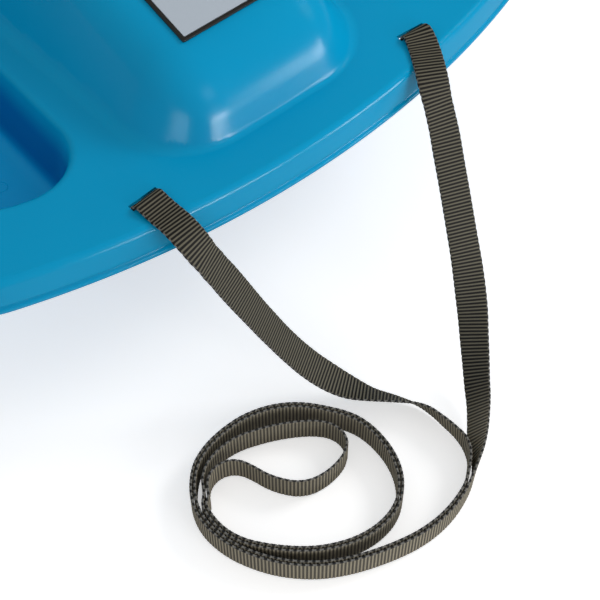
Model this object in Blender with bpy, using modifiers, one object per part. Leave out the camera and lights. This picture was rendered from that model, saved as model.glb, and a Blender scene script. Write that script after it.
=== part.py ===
"""Plastic sled: a moulded tub with a console, steel runners, two hand brakes and a webbing pull strap.

Metres, +Z up. The bow points along -Y, the rider's right side is -X, and the runners stand on z = 0
with the hull centred on x = 0, y = 0.
"""

import math

import bmesh
import bpy
import numpy as np
from mathutils import Matrix

# Hull
LENGTH = 1.05
WIDTH = 0.54
RIM_HEIGHT = 0.155
TAIL_RISE = 0.07
TAIL_RISE_START = 0.625
TAIL_RISE_LENGTH = 0.34
WALL = 0.003
BOW_RADIUS = 0.63
STERN_RADIUS = 0.50
BOW_CORNER = 0.075
STERN_CORNER = 0.12
FLANGE = 0.056
RIM_ROLL = 0.0085
RIM_SHOULDER = ((-0.0050, -0.0012), (-0.0034, -0.0045))
LIP_DROP = 0.022
ROW_BEND_REACH = 0.44

# Foot wells and seat
WELL_INNER_SHARE = 0.2027778
WELL_CORNER = 0.046
WELL_SWEEP = 0.11
ISLAND_LENGTH = 0.385
ISLAND_CORNER = 0.05
DRAFT = math.radians(12)
BACKREST_LEAN = math.radians(24)
BACKREST_REACH = 0.20
WELL_EDGE_RADIUS = 0.005
WELL_FOOT_RADIUS = 0.012
BACKREST_FOOT_RADIUS = 0.045
FRONT_FLOOR = 0.105
SEAT_FLOOR = 0.030
RAMP_START = 0.165
RAMP_LENGTH = 0.26

# Console
CONSOLE_SETBACK = 0.0364
CONSOLE_LENGTH = 0.3136
CONSOLE_LEDGE = 0.026
CONSOLE_CORNER = 0.050
CONSOLE_FLARE = 0.05
CONSOLE_FLARE_START = 0.066
CONSOLE_SHOULDER = 0.0275
CONSOLE_NOSE_HEIGHT = 0.036
CONSOLE_PITCH = math.radians(12)
CONSOLE_PEAK = 0.20
CONSOLE_FALL = 0.25
CONSOLE_FRONT_LEAN = math.radians(24)
CONSOLE_FRONT_RADIUS = 0.041
CONSOLE_SIDE_RADIUS = 0.036
CONSOLE_FRONT_FOOT_RADIUS = 0.0045
CONSOLE_SIDE_FOOT_RADIUS = 0.012
PEAK_SOFTNESS = 0.004

# Runners
RAIL_WIDTH = 0.018
RAIL_THICKNESS = 0.003
RAIL_SHIFT = 0.00375
RAIL_FRONT = 0.305
RAIL_REAR = 0.87
KEEL_HALF_WIDTH = 0.0105
KEEL_SIDE_RUN = 0.0095
KEEL_END_RUN = 0.025
KEEL_CURL = 0.45
KEEL_SOFTNESS = 0.0012
KEEL_FRONT_LIFT = 0.004
KEEL_RISE_START = 0.18
KEEL_END = 0.875
RAIL_CURVE_GAP = 0.0006

# Runner screws and their cap nuts
SCREW_RADIUS = 0.0025
SCREW_HEAD_RADIUS = 0.0046
SCREW_HEAD_HEIGHT = 0.0021
SCREW_FRONT_INSET = 0.030
SCREW_REAR_INSET = 0.025
NUT_HEIGHT = 0.0085
NUT_RADIUS = 0.0052
NUT_FLANGE_RADIUS = 0.0072
NUT_FLANGE_HEIGHT = 0.0014
SCREW_PROUD = 0.0065

# Label
LABEL_WIDTH = 0.074
LABEL_LENGTH = 0.105
LABEL_BORDER = 0.0025
LABEL_SETBACK = 0.043
FRAME_THICKNESS = 0.0016
CARD_THICKNESS = 0.0011

# Pull strap
STRAP_WIDTH = 0.020
STRAP_THICKNESS = 0.0018
STRAP_SLOT_X = 0.1038
STRAP_SLOT_SETBACK = 0.0364
STRAP_SLOT_LENGTH = 0.021
STRAP_SLOT_WIDTH = 0.005
STRAP_SLOT_TOE = math.radians(4.4)
STRAND_OFFSET = 0.00115
STRAP_STEP = 0.012
STRAP_BEND_STEP = 0.0025
STRAP_BEND_LENGTH = 0.030
LOOP_STEM = 0.012
BAR_RADIUS = 0.003
BAR_LENGTH = 0.030

# Hand brakes
PIVOT_STATION = 0.555
PIVOT_HEIGHT = 0.090
BOSS_RADIUS = 0.017
BOSS_INSET = 0.0403
LEVER_THICKNESS = 0.012
HUB_RADIUS = 0.0165
HANDLE_LENGTH = 0.165
HANDLE_HALF_WIDTH = 0.008
HANDLE_REST = math.radians(19)
BRAKE_SWING = math.radians(38)
ARM_LENGTH = 0.082
ARM_HALF_WIDTH = 0.010
ARM_REST = math.radians(28)
GRIP_START = 0.085
GRIP_WALL = 0.003
CLAW_THICKNESS = 0.003
CLAW_REACH = 0.034
CLAW_HALF_WIDTH = 0.014
CLAW_TOOTH = 0.009
CLAW_OVERHANG = 0.010
CLAW_TEETH = 3
RIVET_RADIUS = 0.0025
RIVET_HEAD_RADIUS = 0.0045
RIVET_HEAD_HEIGHT = 0.0018
RIVET_SPACING = 0.016
RIVET_INSET = 0.002
STUD_RADIUS = 0.004
STUD_DEPTH = 0.021
WASHER_RADIUS = 0.009
WASHER_THICKNESS = 0.0013
LOCK_NUT_RADIUS = 0.0075
LOCK_NUT_HEIGHT = 0.006
STUD_PROUD = 0.0015
STUD_CHAMFER = 0.001

# Clearances
GAP = 0.0003
SLIT_CLEARANCE = 0.0012
SIDE_CLEARANCE = 0.002
CUT_MARGIN = 0.02

# Places that follow from the sizes
BOW = -LENGTH / 2
STERN = LENGTH / 2
SLOT_Y = BOW + STRAP_SLOT_SETBACK
CONSOLE_FRONT = BOW + CONSOLE_SETBACK
KEEL_RISE_LENGTH = RAMP_START + RAMP_LENGTH - KEEL_RISE_START
KEEL_HEIGHT = RAIL_THICKNESS + GAP + WALL
WELL_INNER = WELL_INNER_SHARE * WIDTH
CONSOLE_HALF_WIDTH = WELL_INNER - CONSOLE_LEDGE
CONSOLE_CREST = CONSOLE_HALF_WIDTH - CONSOLE_SHOULDER
RAIL_X = (WELL_INNER + WIDTH / 2 - FLANGE) / 2 - RAIL_SHIFT
FIRST_SCREW = KEEL_RISE_START + KEEL_RISE_LENGTH + SCREW_FRONT_INSET
LAST_SCREW = RAIL_REAR - SCREW_REAR_INSET
SCREW_STATIONS = (FIRST_SCREW, (FIRST_SCREW + LAST_SCREW) / 2, LAST_SCREW)
BOSS_FACE_X = WIDTH / 2 - BOSS_INSET
LEVER_X = BOSS_FACE_X + 2 * GAP + WASHER_THICKNESS + LEVER_THICKNESS / 2
PIVOT_Y = BOW + PIVOT_STATION
FACET = math.radians(30)

SIDES = (("right", -1), ("left", 1))

# Strap route: x, y, z of the centreline and the lean of the webbing about it in degrees.
RIGHT_LEG = (
    (-0.1038, -0.4911, 0.1487, 0), (-0.1038, -0.4911, 0.1525, 0), (-0.1037, -0.4921, 0.1562, 0),
    (-0.1034, -0.4956, 0.1582, 0), (-0.1029, -0.5005, 0.1573, 0), (-0.1022, -0.5070, 0.1563, 0),
    (-0.1015, -0.5150, 0.1562, 0), (-0.1011, -0.5225, 0.1554, 2), (-0.1003, -0.5298, 0.1522, 5),
    (-0.0984, -0.5360, 0.1455, 12), (-0.0952, -0.5403, 0.1360, 24), (-0.0910, -0.5443, 0.1245, 29),
    (-0.0829, -0.5520, 0.1020, 29), (-0.0735, -0.5600, 0.0770, 25), (-0.0630, -0.5693, 0.0515, 20),
    (-0.0561, -0.5760, 0.0372, 18), (-0.0488, -0.5842, 0.0255, 12), (-0.0406, -0.5955, 0.0170, -4),
    (-0.0298, -0.6102, 0.0122, -34), (-0.0192, -0.6235, 0.0112, -50), (-0.0124, -0.6335, 0.0108, -62),
    (-0.0092, -0.6425, 0.0107, -72), (-0.0080, -0.6530, 0.0106, -78), (-0.0075, -0.6645, 0.0105, -82),
    (-0.0089, -0.6743, 0.0105, -88), (-0.0130, -0.6820, 0.0105, -89), (-0.0196, -0.6880, 0.0105, -90),
)
LEFT_LEG = (
    (0.1038, -0.4911, 0.1487, 0), (0.1038, -0.4911, 0.1525, 0), (0.1038, -0.4921, 0.1564, 0),
    (0.1035, -0.4956, 0.1586, 0), (0.1021, -0.5003, 0.1577, 0), (0.0990, -0.5070, 0.1565, 0),
    (0.0945, -0.5148, 0.1562, 0), (0.0896, -0.5230, 0.1552, 0), (0.0858, -0.5300, 0.1520, 0),
    (0.0836, -0.5354, 0.1466, -1), (0.0822, -0.5404, 0.1398, -2), (0.0796, -0.5489, 0.1284, -2),
    (0.0761, -0.5577, 0.1165, -2), (0.0707, -0.5714, 0.0984, -2), (0.0647, -0.5854, 0.0806, -1),
    (0.0582, -0.5998, 0.0631, 4), (0.0531, -0.6094, 0.0519, 12), (0.0474, -0.6190, 0.0411, 22),
    (0.0408, -0.6285, 0.0310, 31), (0.0338, -0.6383, 0.0222, 37), (0.0258, -0.6485, 0.0158, 43),
    (0.0178, -0.6585, 0.0124, 48), (0.0092, -0.6672, 0.0113, 52), (0.0003, -0.6755, 0.0109, 57),
    (-0.0075, -0.6836, 0.0107, 73), (-0.0160, -0.6902, 0.0106, 85), (-0.0242, -0.6951, 0.0105, 90),
)
# The doubled stretch on the floor, midway between its two strands.
PAIR = (
    (-0.0310, -0.6970), (-0.0440, -0.7012), (-0.0600, -0.7032), (-0.0750, -0.7022), (-0.0885, -0.6992),
    (-0.1020, -0.6948), (-0.1170, -0.6884), (-0.1315, -0.6797), (-0.1420, -0.6707), (-0.1520, -0.6590),
    (-0.1588, -0.6478), (-0.1636, -0.6370), (-0.1665, -0.6255), (-0.1672, -0.6150), (-0.1655, -0.6050),
    (-0.1617, -0.5963), (-0.1555, -0.5880), (-0.1472, -0.5808), (-0.1370, -0.5763), (-0.1265, -0.5741),
    (-0.1165, -0.5735), (-0.1065, -0.5740), (-0.0975, -0.5760), (-0.0890, -0.5791), (-0.0805, -0.5838),
    (-0.0730, -0.5896), (-0.0665, -0.5965), (-0.0608, -0.6040), (-0.0555, -0.6120), (-0.0517, -0.6200),
    (-0.0497, -0.6295), (-0.0495, -0.6400), (-0.0513, -0.6515), (-0.0552, -0.6620), (-0.0615, -0.6712),
    (-0.0690, -0.6776), (-0.0775, -0.6815), (-0.0880, -0.6832), (-0.0990, -0.6826), (-0.1090, -0.6801),
    (-0.1180, -0.6763), (-0.1270, -0.6712), (-0.1355, -0.6646), (-0.1431, -0.6573), (-0.1505, -0.6488),
    (-0.1566, -0.6401), (-0.1606, -0.6310), (-0.1624, -0.6222), (-0.1623, -0.6138), (-0.1603, -0.6056),
)
# The eye in the middle of the coil, where the two strands part and meet again at the fold.
LEFT_EYE = (
    (-0.1553, -0.5985), (-0.1505, -0.5910), (-0.1448, -0.5863), (-0.1375, -0.5832), (-0.1295, -0.5817),
    (-0.1215, -0.5817), (-0.1135, -0.5832), (-0.1045, -0.5864), (-0.0955, -0.5903), (-0.0869, -0.5949),
    (-0.0789, -0.6001), (-0.0716, -0.6062), (-0.0668, -0.6125), (-0.0649, -0.6189), (-0.0654, -0.6248),
    (-0.0680, -0.6296),
)
RIGHT_EYE = (
    (-0.1549, -0.6024), (-0.1513, -0.5968), (-0.1467, -0.5924), (-0.1412, -0.5903), (-0.1350, -0.5905),
    (-0.1296, -0.5929), (-0.1254, -0.5973), (-0.1222, -0.6045), (-0.1190, -0.6140), (-0.1143, -0.6227),
    (-0.1080, -0.6301), (-0.1010, -0.6343), (-0.0935, -0.6360), (-0.0860, -0.6362), (-0.0790, -0.6352),
    (-0.0736, -0.6334), (-0.0698, -0.6310),
)
STANDING_HEIGHT = 0.0105
STANDING_LEAN = 90.0


def smooth_step(t):
    """0 below 0, 1 above 1, and the cubic with level ends between."""
    t = np.clip(t, 0.0, 1.0)
    return t * t * (3 - 2 * t)


def rounded_max(a, b, radius):
    """Signed distance of the crossing of two half spaces with its corner rounded."""
    corner = np.hypot(np.maximum(a + radius, 0), np.maximum(b + radius, 0))
    return np.minimum(np.maximum(a, b), -radius) + corner


def outline_distance(x, y, bow_corner=BOW_CORNER):
    """Signed distance from the lip's outer edge in plan, negative inside the hull."""
    bow = np.hypot(x, y - (BOW + BOW_RADIUS)) - BOW_RADIUS
    stern = np.hypot(x, y - (STERN - STERN_RADIUS)) - STERN_RADIUS
    side = np.abs(x) - WIDTH / 2
    front = rounded_max(side, bow, bow_corner)
    back = rounded_max(side, stern, STERN_CORNER)
    return np.where(y < 0, front, back)


def rim_end(x, inset, end_radius, corner, end):
    """How far from the middle the contour at this inset runs along one column, on the bow or the stern."""
    side = np.abs(x) - WIDTH / 2 + corner
    reach = np.where(
        side > 0,
        -corner + np.sqrt(np.maximum((corner - inset) ** 2 - np.maximum(side, 0) ** 2, 0)),
        -inset,
    )
    return end - end_radius + np.sqrt((end_radius + reach) ** 2 - x**2)


def rim_z(y):
    """Height of the rim's flat top."""
    return RIM_HEIGHT + TAIL_RISE * smooth_step((y - BOW - TAIL_RISE_START) / TAIL_RISE_LENGTH)


def keel_z(y):
    """Height of the keel channel's floor, level behind and rising towards the bow."""
    ahead = BOW + KEEL_RISE_START + KEEL_RISE_LENGTH - y
    rise = FRONT_FLOOR + KEEL_FRONT_LIFT - KEEL_HEIGHT
    return KEEL_HEIGHT + rise * smooth_step(ahead / KEEL_RISE_LENGTH)


def keel_channel(x, y):
    """The keel channel's surface: a strip whose sides and ends curl up ever more steeply."""
    beside = np.maximum(np.abs(np.abs(x) - RAIL_X) - KEEL_HALF_WIDTH, 0) / KEEL_SIDE_RUN
    behind = np.maximum(y - BOW - KEEL_END, 0) / KEEL_END_RUN
    before = np.maximum(BOW + KEEL_RISE_START - y, 0) / KEEL_END_RUN
    climb = sum((1 - KEEL_CURL) * run + KEEL_CURL * run**2 for run in (beside, behind, before))
    return keel_z(y) + (SEAT_FLOOR - KEEL_HEIGHT) * climb


def floor_z(y):
    """Height of the tub's floor: high in front and low under the seat."""
    ahead = BOW + RAMP_START + RAMP_LENGTH - y
    return SEAT_FLOOR + (FRONT_FLOOR - SEAT_FLOOR) * smooth_step(ahead / RAMP_LENGTH)


def stern_share(x, y):
    """How far the nearest wall is the backrest and not a side wall, from 0 to 1."""
    side = np.maximum(np.abs(x) - WIDTH / 2 + BACKREST_REACH, 0) ** 2
    stern = np.maximum(y - STERN + BACKREST_REACH, 0) ** 2
    return stern / (side + stern + 1e-9)


def wall_drop(distance, depth, slope, top_radius, foot_radius):
    """Drop of a slanted wall with a round over its edge and a fillet at its foot.

    distance runs outwards from the sharp edge and slope is the wall's run for each unit of drop.
    """
    lean = np.arctan(slope)
    tangent = np.tan((math.pi / 2 - lean) / 2)
    top_arc = top_radius * np.cos(lean)
    foot_arc = foot_radius * np.cos(lean)
    foot_end = depth * slope + foot_radius * tangent
    on_top = np.clip(distance + top_radius * tangent, 0, top_arc)
    on_foot = np.clip(foot_end - distance, 0, foot_arc)
    drop = distance / slope
    drop = np.where(
        distance < top_arc - top_radius * tangent, top_radius - np.sqrt(top_radius**2 - on_top**2), drop
    )
    foot = depth - foot_radius + np.sqrt(foot_radius**2 - on_foot**2)
    return np.where(distance > foot_end - foot_arc, foot, drop)


def console_rise(x, y):
    """Height of the console above the rim's level."""
    back = y - CONSOLE_FRONT
    behind = np.logaddexp(0, (back - CONSOLE_FLARE_START) / PEAK_SOFTNESS) * PEAK_SOFTNESS
    half = CONSOLE_HALF_WIDTH + CONSOLE_FLARE * behind
    climb = CONSOLE_NOSE_HEIGHT + math.tan(CONSOLE_PITCH) * back
    peak = CONSOLE_NOSE_HEIGHT + math.tan(CONSOLE_PITCH) * CONSOLE_PEAK
    fall = peak - CONSOLE_FALL * (back - CONSOLE_PEAK)
    height = -PEAK_SOFTNESS * np.logaddexp(-climb / PEAK_SOFTNESS, -fall / PEAK_SOFTNESS)
    height = np.maximum(height, CONSOLE_NOSE_HEIGHT / 2)
    side = np.abs(x) - half
    ends = np.maximum(-back, back - CONSOLE_LENGTH)
    edge = rounded_max(side, ends, CONSOLE_CORNER)
    side_part = np.maximum(side + CONSOLE_CORNER, 0) ** 2
    end_part = np.maximum(ends + CONSOLE_CORNER, 0) ** 2
    share = end_part / (side_part + end_part + 1e-9)
    side_slope = (half - CONSOLE_CREST) / height
    slope = side_slope + (math.tan(CONSOLE_FRONT_LEAN) - side_slope) * share
    top_radius = CONSOLE_SIDE_RADIUS + (CONSOLE_FRONT_RADIUS - CONSOLE_SIDE_RADIUS) * share
    foot_radius = CONSOLE_SIDE_FOOT_RADIUS + (CONSOLE_FRONT_FOOT_RADIUS - CONSOLE_SIDE_FOOT_RADIUS) * share
    drop = wall_drop(height * slope + edge, height, slope, top_radius, foot_radius)
    return height - drop


def hull_z(x, y):
    """Height of the hull's upper face inside the rolled rim."""
    island = rounded_max(np.abs(x) - WELL_INNER, y - BOW - ISLAND_LENGTH, ISLAND_CORNER)
    recess = rounded_max(outline_distance(x, y, WELL_SWEEP) + FLANGE, -island, WELL_CORNER)
    back = stern_share(x, y)
    slope = math.tan(DRAFT) + (math.tan(BACKREST_LEAN) - math.tan(DRAFT)) * back
    foot = WELL_FOOT_RADIUS + (BACKREST_FOOT_RADIUS - WELL_FOOT_RADIUS) * back
    depth = rim_z(y) - floor_z(y)
    drop = wall_drop(-recess, depth, slope, WELL_EDGE_RADIUS, foot)
    tub = rim_z(y) - drop + console_rise(x, y)
    channel = keel_channel(x, y)
    return -KEEL_SOFTNESS * np.logaddexp(-tub / KEEL_SOFTNESS, -channel / KEEL_SOFTNESS)


def material(name, colour, roughness, metallic=0.0):
    """A Principled material with one colour."""
    made = bpy.data.materials.new(name)
    made.use_nodes = True
    shader = made.node_tree.nodes["Principled BSDF"]
    shader.inputs["Base Color"].default_value = (*colour, 1.0)
    shader.inputs["Roughness"].default_value = roughness
    shader.inputs["Metallic"].default_value = metallic
    return made


def new_object(name, mesh, collection, finish=None):
    """An object for a mesh, linked to its collection, with its material."""
    made = bpy.data.objects.new(name, mesh)
    collection.objects.link(made)
    if finish:
        mesh.materials.append(finish)
    return made


def as_guide(piece):
    """Marks a cutter or a joined lump so that it never counts as a part."""
    piece.hide_render = True
    piece.display_type = "WIRE"
    return piece


def boolean(piece, tool, operation):
    """Adds one exact Boolean to a piece."""
    cut = piece.modifiers.new(tool.name, "BOOLEAN")
    cut.solver = "EXACT"
    cut.operation = operation
    cut.object = tool


def round_edges(piece, width, segments=2):
    """Rounds every edge sharper than the facet angle."""
    rounding = piece.modifiers.new("rounding", "BEVEL")
    rounding.width = width
    rounding.segments = segments
    rounding.limit_method = "ANGLE"
    rounding.angle_limit = FACET


def smooth_shade(mesh):
    """Smooth shading with sharp creases."""
    mesh.shade_smooth()
    mesh.set_sharp_from_angle(angle=FACET)


def arc(centre, radius, start, end, count):
    """Points along an arc in the plane, angles in radians."""
    angles = np.linspace(start, end, count)
    return [(centre[0] + radius * math.cos(a), centre[1] + radius * math.sin(a)) for a in angles]


def plate_mesh(name, loops, thickness):
    """A flat plate from an outline and its holes, as a filled 2D curve turned into a mesh."""
    drawn = bpy.data.curves.new(name + "_outline", "CURVE")
    drawn.dimensions = "2D"
    drawn.fill_mode = "BOTH"
    drawn.extrude = thickness / 2
    for loop in loops:
        spline = drawn.splines.new("POLY")
        spline.points.add(len(loop) - 1)
        for point, (u, v) in zip(spline.points, loop):
            point.co = (u, v, 0, 1)
        spline.use_cyclic_u = True
    holder = bpy.data.objects.new(name + "_outline", drawn)
    bpy.context.scene.collection.objects.link(holder)
    bpy.context.view_layer.update()
    evaluated = holder.evaluated_get(bpy.context.evaluated_depsgraph_get())
    mesh = bpy.data.meshes.new_from_object(evaluated)
    mesh.name = name
    bpy.data.objects.remove(holder)
    welded = bmesh.new()
    welded.from_mesh(mesh)
    bmesh.ops.remove_doubles(welded, verts=welded.verts, dist=1e-6)
    bmesh.ops.recalc_face_normals(welded, faces=welded.faces)
    welded.to_mesh(mesh)
    welded.free()
    return mesh


def turned(name, profile, steps, collection, finish):
    """A turned shape about its own Z: the profile runs down its outer side."""
    mesh = bpy.data.meshes.new(name)
    edges = [(i, i + 1) for i in range(len(profile) - 1)]
    mesh.from_pydata([(r, 0, z) for r, z in profile], edges, [])
    piece = new_object(name, mesh, collection, finish)
    spin = piece.modifiers.new("spin", "SCREW")
    spin.angle = math.tau
    spin.steps = steps
    spin.render_steps = steps
    spin.use_merge_vertices = True
    spin.merge_threshold = 1e-5
    spin.use_smooth_shade = True
    return piece


def box(name, size, collection):
    """A box primitive of the given size about its own origin."""
    mesh = bpy.data.meshes.new(name)
    cube = bmesh.new()
    bmesh.ops.create_cube(cube, size=1.0, matrix=Matrix.Diagonal((*size, 1.0)))
    cube.to_mesh(mesh)
    cube.free()
    return new_object(name, mesh, collection)


def cylinder(name, radii, depth, sides, collection):
    """A cylinder or cone along its own Z, centred on its origin."""
    mesh = bpy.data.meshes.new(name)
    round_body = bmesh.new()
    bmesh.ops.create_cone(
        round_body, cap_ends=True, segments=sides, radius1=radii[0], radius2=radii[1], depth=depth
    )
    round_body.to_mesh(mesh)
    round_body.free()
    return new_object(name, mesh, collection)


def grid_columns():
    """Column positions, close together where the walls, the keels and the console are."""
    run = math.tan(DRAFT) * (RIM_HEIGHT - SEAT_FLOOR)
    tub = WIDTH / 2 - FLANGE
    half = [
        CONSOLE_CREST - CONSOLE_SIDE_RADIUS * 0.5,
        CONSOLE_CREST + 0.003,
        CONSOLE_HALF_WIDTH - 0.015,
        CONSOLE_HALF_WIDTH - 0.003,
        CONSOLE_HALF_WIDTH + 0.0075,
        WELL_INNER - 0.8 * WELL_EDGE_RADIUS,
        WELL_INNER + 0.2 * WELL_EDGE_RADIUS,
        WELL_INNER + 0.6 * run,
        RAIL_X - KEEL_HALF_WIDTH - KEEL_SIDE_RUN,
        RAIL_X - KEEL_HALF_WIDTH,
        RAIL_X + KEEL_HALF_WIDTH,
        tub - 1.05 * run,
        tub - 0.5 * run,
        tub - 0.2 * WELL_EDGE_RADIUS,
        tub + 0.8 * WELL_EDGE_RADIUS,
        WIDTH / 2 - 4.4 * RIM_ROLL,
        WIDTH / 2 - 3 * RIM_ROLL,
        WIDTH / 2 - 1.6 * RIM_ROLL,
        WIDTH / 2 - RIM_ROLL,
    ]
    return np.array([-x for x in reversed(half)] + [0.0] + half)


def grid_rows():
    """Row positions along the middle, from the bow to the stern."""
    front = [RIM_ROLL, 0.022, CONSOLE_SETBACK - 0.003, CONSOLE_SETBACK + 0.001, CONSOLE_SETBACK + 0.007]
    front += [CONSOLE_SETBACK + 0.0125, FLANGE - 0.001, FLANGE + 0.003, FLANGE + 0.010]
    front += list(np.linspace(FLANGE + 0.025, KEEL_RISE_START - 0.02, 3))
    ramp = list(np.linspace(KEEL_RISE_START, ISLAND_LENGTH - 0.02, 12))
    island = [ISLAND_LENGTH - 0.004, ISLAND_LENGTH + 0.001, ISLAND_LENGTH + 0.014]
    keel_foot = KEEL_RISE_START + KEEL_RISE_LENGTH
    island += [keel_foot - 0.034, keel_foot - 0.012, keel_foot + 0.005]
    seat = list(np.linspace(ISLAND_LENGTH + 0.13, LENGTH - 0.26, 4))
    back = list(LENGTH - np.linspace(BACKREST_REACH + 0.005, FLANGE + 0.024, 6))
    back += [LENGTH - FLANGE - 0.002, LENGTH - FLANGE + 0.004, LENGTH - RIM_ROLL]
    return BOW + np.array(sorted(front + ramp + island + seat + back))


def hull_surface(mesh):
    """The hull's upper face: a grid laid over the plan, then the rolled rim drawn down from its edge."""
    columns, rows = grid_columns(), grid_rows()
    sheet = bmesh.new()
    bmesh.ops.create_grid(sheet, x_segments=len(columns) - 1, y_segments=len(rows) - 1, size=1.0)
    sheet.verts.ensure_lookup_table()
    raw = np.array([v.co[:2] for v in sheet.verts])
    column = np.rint((raw[:, 0] + 1) / 2 * (len(columns) - 1)).astype(int)
    row = np.rint((raw[:, 1] + 1) / 2 * (len(rows) - 1)).astype(int)
    x = columns[column]
    station = rows[row]
    front = -rim_end(x, RIM_ROLL, BOW_RADIUS, BOW_CORNER, -BOW)
    back = rim_end(x, RIM_ROLL, STERN_RADIUS, STERN_CORNER, STERN)
    fore = 1 - smooth_step((station - rows[0]) / ROW_BEND_REACH)
    aft = 1 - smooth_step((rows[-1] - station) / ROW_BEND_REACH)
    y = station + fore * (front - rows[0]) + aft * (back - rows[-1])
    z = hull_z(x, y)
    for vertex, place in zip(sheet.verts, np.stack([x, y, z], axis=1)):
        vertex.co = place
    edge = [e for e in sheet.edges if e.is_boundary]
    inset, level = -RIM_ROLL, 0.0
    for distance, drop in (*RIM_SHOULDER, (0.0, -LIP_DROP)):
        grown = bmesh.ops.extrude_edge_only(sheet, edges=edge)["geom"]
        edge = [g for g in grown if isinstance(g, bmesh.types.BMEdge)]
        for vertex in {v for e in edge for v in e.verts}:
            px, py = vertex.co.x, vertex.co.y
            step = 1e-5
            slope_x = (outline_distance(px + step, py) - outline_distance(px - step, py)) / (2 * step)
            slope_y = (outline_distance(px, py + step) - outline_distance(px, py - step)) / (2 * step)
            size = math.hypot(slope_x, slope_y)
            vertex.co.x += slope_x / size * (distance - inset)
            vertex.co.y += slope_y / size * (distance - inset)
            vertex.co.z += drop - level
        inset, level = distance, drop
    bmesh.ops.recalc_face_normals(sheet, faces=sheet.faces)
    if sum(f.normal.z for f in sheet.faces) < 0:
        bmesh.ops.reverse_faces(sheet, faces=sheet.faces)
    sheet.to_mesh(mesh)
    sheet.free()


def build_hull(parts, cutters, finishes):
    """The moulded tub with its bosses, strap slots, brake slits and screw holes."""
    mesh = bpy.data.meshes.new("hull_shell")
    hull_surface(mesh)
    hull = new_object("hull_shell", mesh, parts, finishes["hull"])
    shell = hull.modifiers.new("wall", "SOLIDIFY")
    shell.thickness = WALL
    shell.offset = -1
    shell.use_even_offset = True
    shell.use_quality_normals = True
    for side, sign in SIDES:
        boolean(hull, brake_boss(side, sign, cutters), "UNION")
    for side, sign in SIDES:
        slot = box("strap_slot_" + side, (STRAP_SLOT_LENGTH, STRAP_SLOT_WIDTH, CUT_MARGIN), cutters)
        slot.location = (sign * STRAP_SLOT_X, SLOT_Y - STRAP_SLOT_WIDTH / 2, RIM_HEIGHT)
        slot.rotation_euler.z = -sign * STRAP_SLOT_TOE
        boolean(hull, as_guide(slot), "DIFFERENCE")
        ahead = slit_reach(HANDLE_REST)
        behind = slit_reach(BRAKE_SWING - HANDLE_REST)
        slit_size = (LEVER_THICKNESS + 2 * SIDE_CLEARANCE, ahead + behind, CUT_MARGIN)
        slit = box("brake_slit_" + side, slit_size, cutters)
        slit.location = (sign * LEVER_X, PIVOT_Y + (behind - ahead) / 2, RIM_HEIGHT)
        boolean(hull, as_guide(slit), "DIFFERENCE")
        bore = cylinder("stud_hole_" + side, (STUD_RADIUS + GAP,) * 2, 2 * STUD_DEPTH, 16, cutters)
        bore.location = (sign * (BOSS_FACE_X + GAP / 2), PIVOT_Y, PIVOT_HEIGHT)
        bore.rotation_euler.y = math.pi / 2
        boolean(hull, as_guide(bore), "DIFFERENCE")
        for index, station in enumerate(SCREW_STATIONS):
            hole = cylinder(
                f"screw_hole_{side}_{index}", (SCREW_RADIUS + GAP,) * 2, CUT_MARGIN, 12, cutters
            )
            hole.location = (sign * RAIL_X, BOW + station, KEEL_HEIGHT)
            boolean(hull, as_guide(hole), "DIFFERENCE")
    smooth_shade(mesh)


def slit_reach(lean):
    """How far from the pivot the brake slit runs for a handle that leans this far from upright."""
    reach = (RIM_HEIGHT - PIVOT_HEIGHT) * math.tan(lean) + HANDLE_HALF_WIDTH / math.cos(lean)
    return reach + SLIT_CLEARANCE


def brake_boss(side, sign, cutters):
    """A round boss on the tub wall whose inner end lies in the middle of the slanted wall."""
    depth = RIM_HEIGHT - PIVOT_HEIGHT
    root = WIDTH / 2 - FLANGE - depth * math.tan(DRAFT)
    boss = cylinder("boss_" + side, (BOSS_RADIUS, BOSS_RADIUS), BOSS_FACE_X - root, 28, cutters)
    middle = WALL / 2 / math.cos(DRAFT)
    for vertex in boss.data.vertices:
        outer = vertex.co.z > 0
        across, up = vertex.co.x, vertex.co.y
        out = BOSS_FACE_X if outer else root + middle + up * math.tan(DRAFT)
        vertex.co = (sign * out, PIVOT_Y + across, PIVOT_HEIGHT + up)
    turned_boss = bmesh.new()
    turned_boss.from_mesh(boss.data)
    bmesh.ops.recalc_face_normals(turned_boss, faces=turned_boss.faces)
    turned_boss.to_mesh(boss.data)
    turned_boss.free()
    return as_guide(boss)


def build_label(parts, finishes):
    """The dark label frame on the console and the pale card inside it."""
    middle = LABEL_SETBACK + LABEL_LENGTH / 2 * math.cos(CONSOLE_PITCH)
    height = RIM_HEIGHT + CONSOLE_NOSE_HEIGHT + math.tan(CONSOLE_PITCH) * middle
    seat = Matrix.Translation((0, CONSOLE_FRONT + middle, height))
    seat = seat @ Matrix.Rotation(CONSOLE_PITCH, 4, "X")

    def rectangle(width, length):
        return [(-width / 2, -length / 2), (width / 2, -length / 2), (width / 2, length / 2),
                (-width / 2, length / 2)]

    inner = (LABEL_WIDTH - 2 * LABEL_BORDER, LABEL_LENGTH - 2 * LABEL_BORDER)
    loops = [rectangle(LABEL_WIDTH, LABEL_LENGTH), rectangle(*inner)]
    frame = new_object(
        "label_frame", plate_mesh("label_frame", loops, FRAME_THICKNESS), parts, finishes["frame"]
    )
    frame.matrix_world = seat @ Matrix.Translation((0, 0, GAP + FRAME_THICKNESS / 2))
    card_loop = rectangle(inner[0] - 2 * GAP, inner[1] - 2 * GAP)
    card = new_object(
        "label_card", plate_mesh("label_card", [card_loop], CARD_THICKNESS), parts, finishes["card"]
    )
    card.matrix_world = seat @ Matrix.Translation((0, 0, GAP + CARD_THICKNESS / 2))


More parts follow.
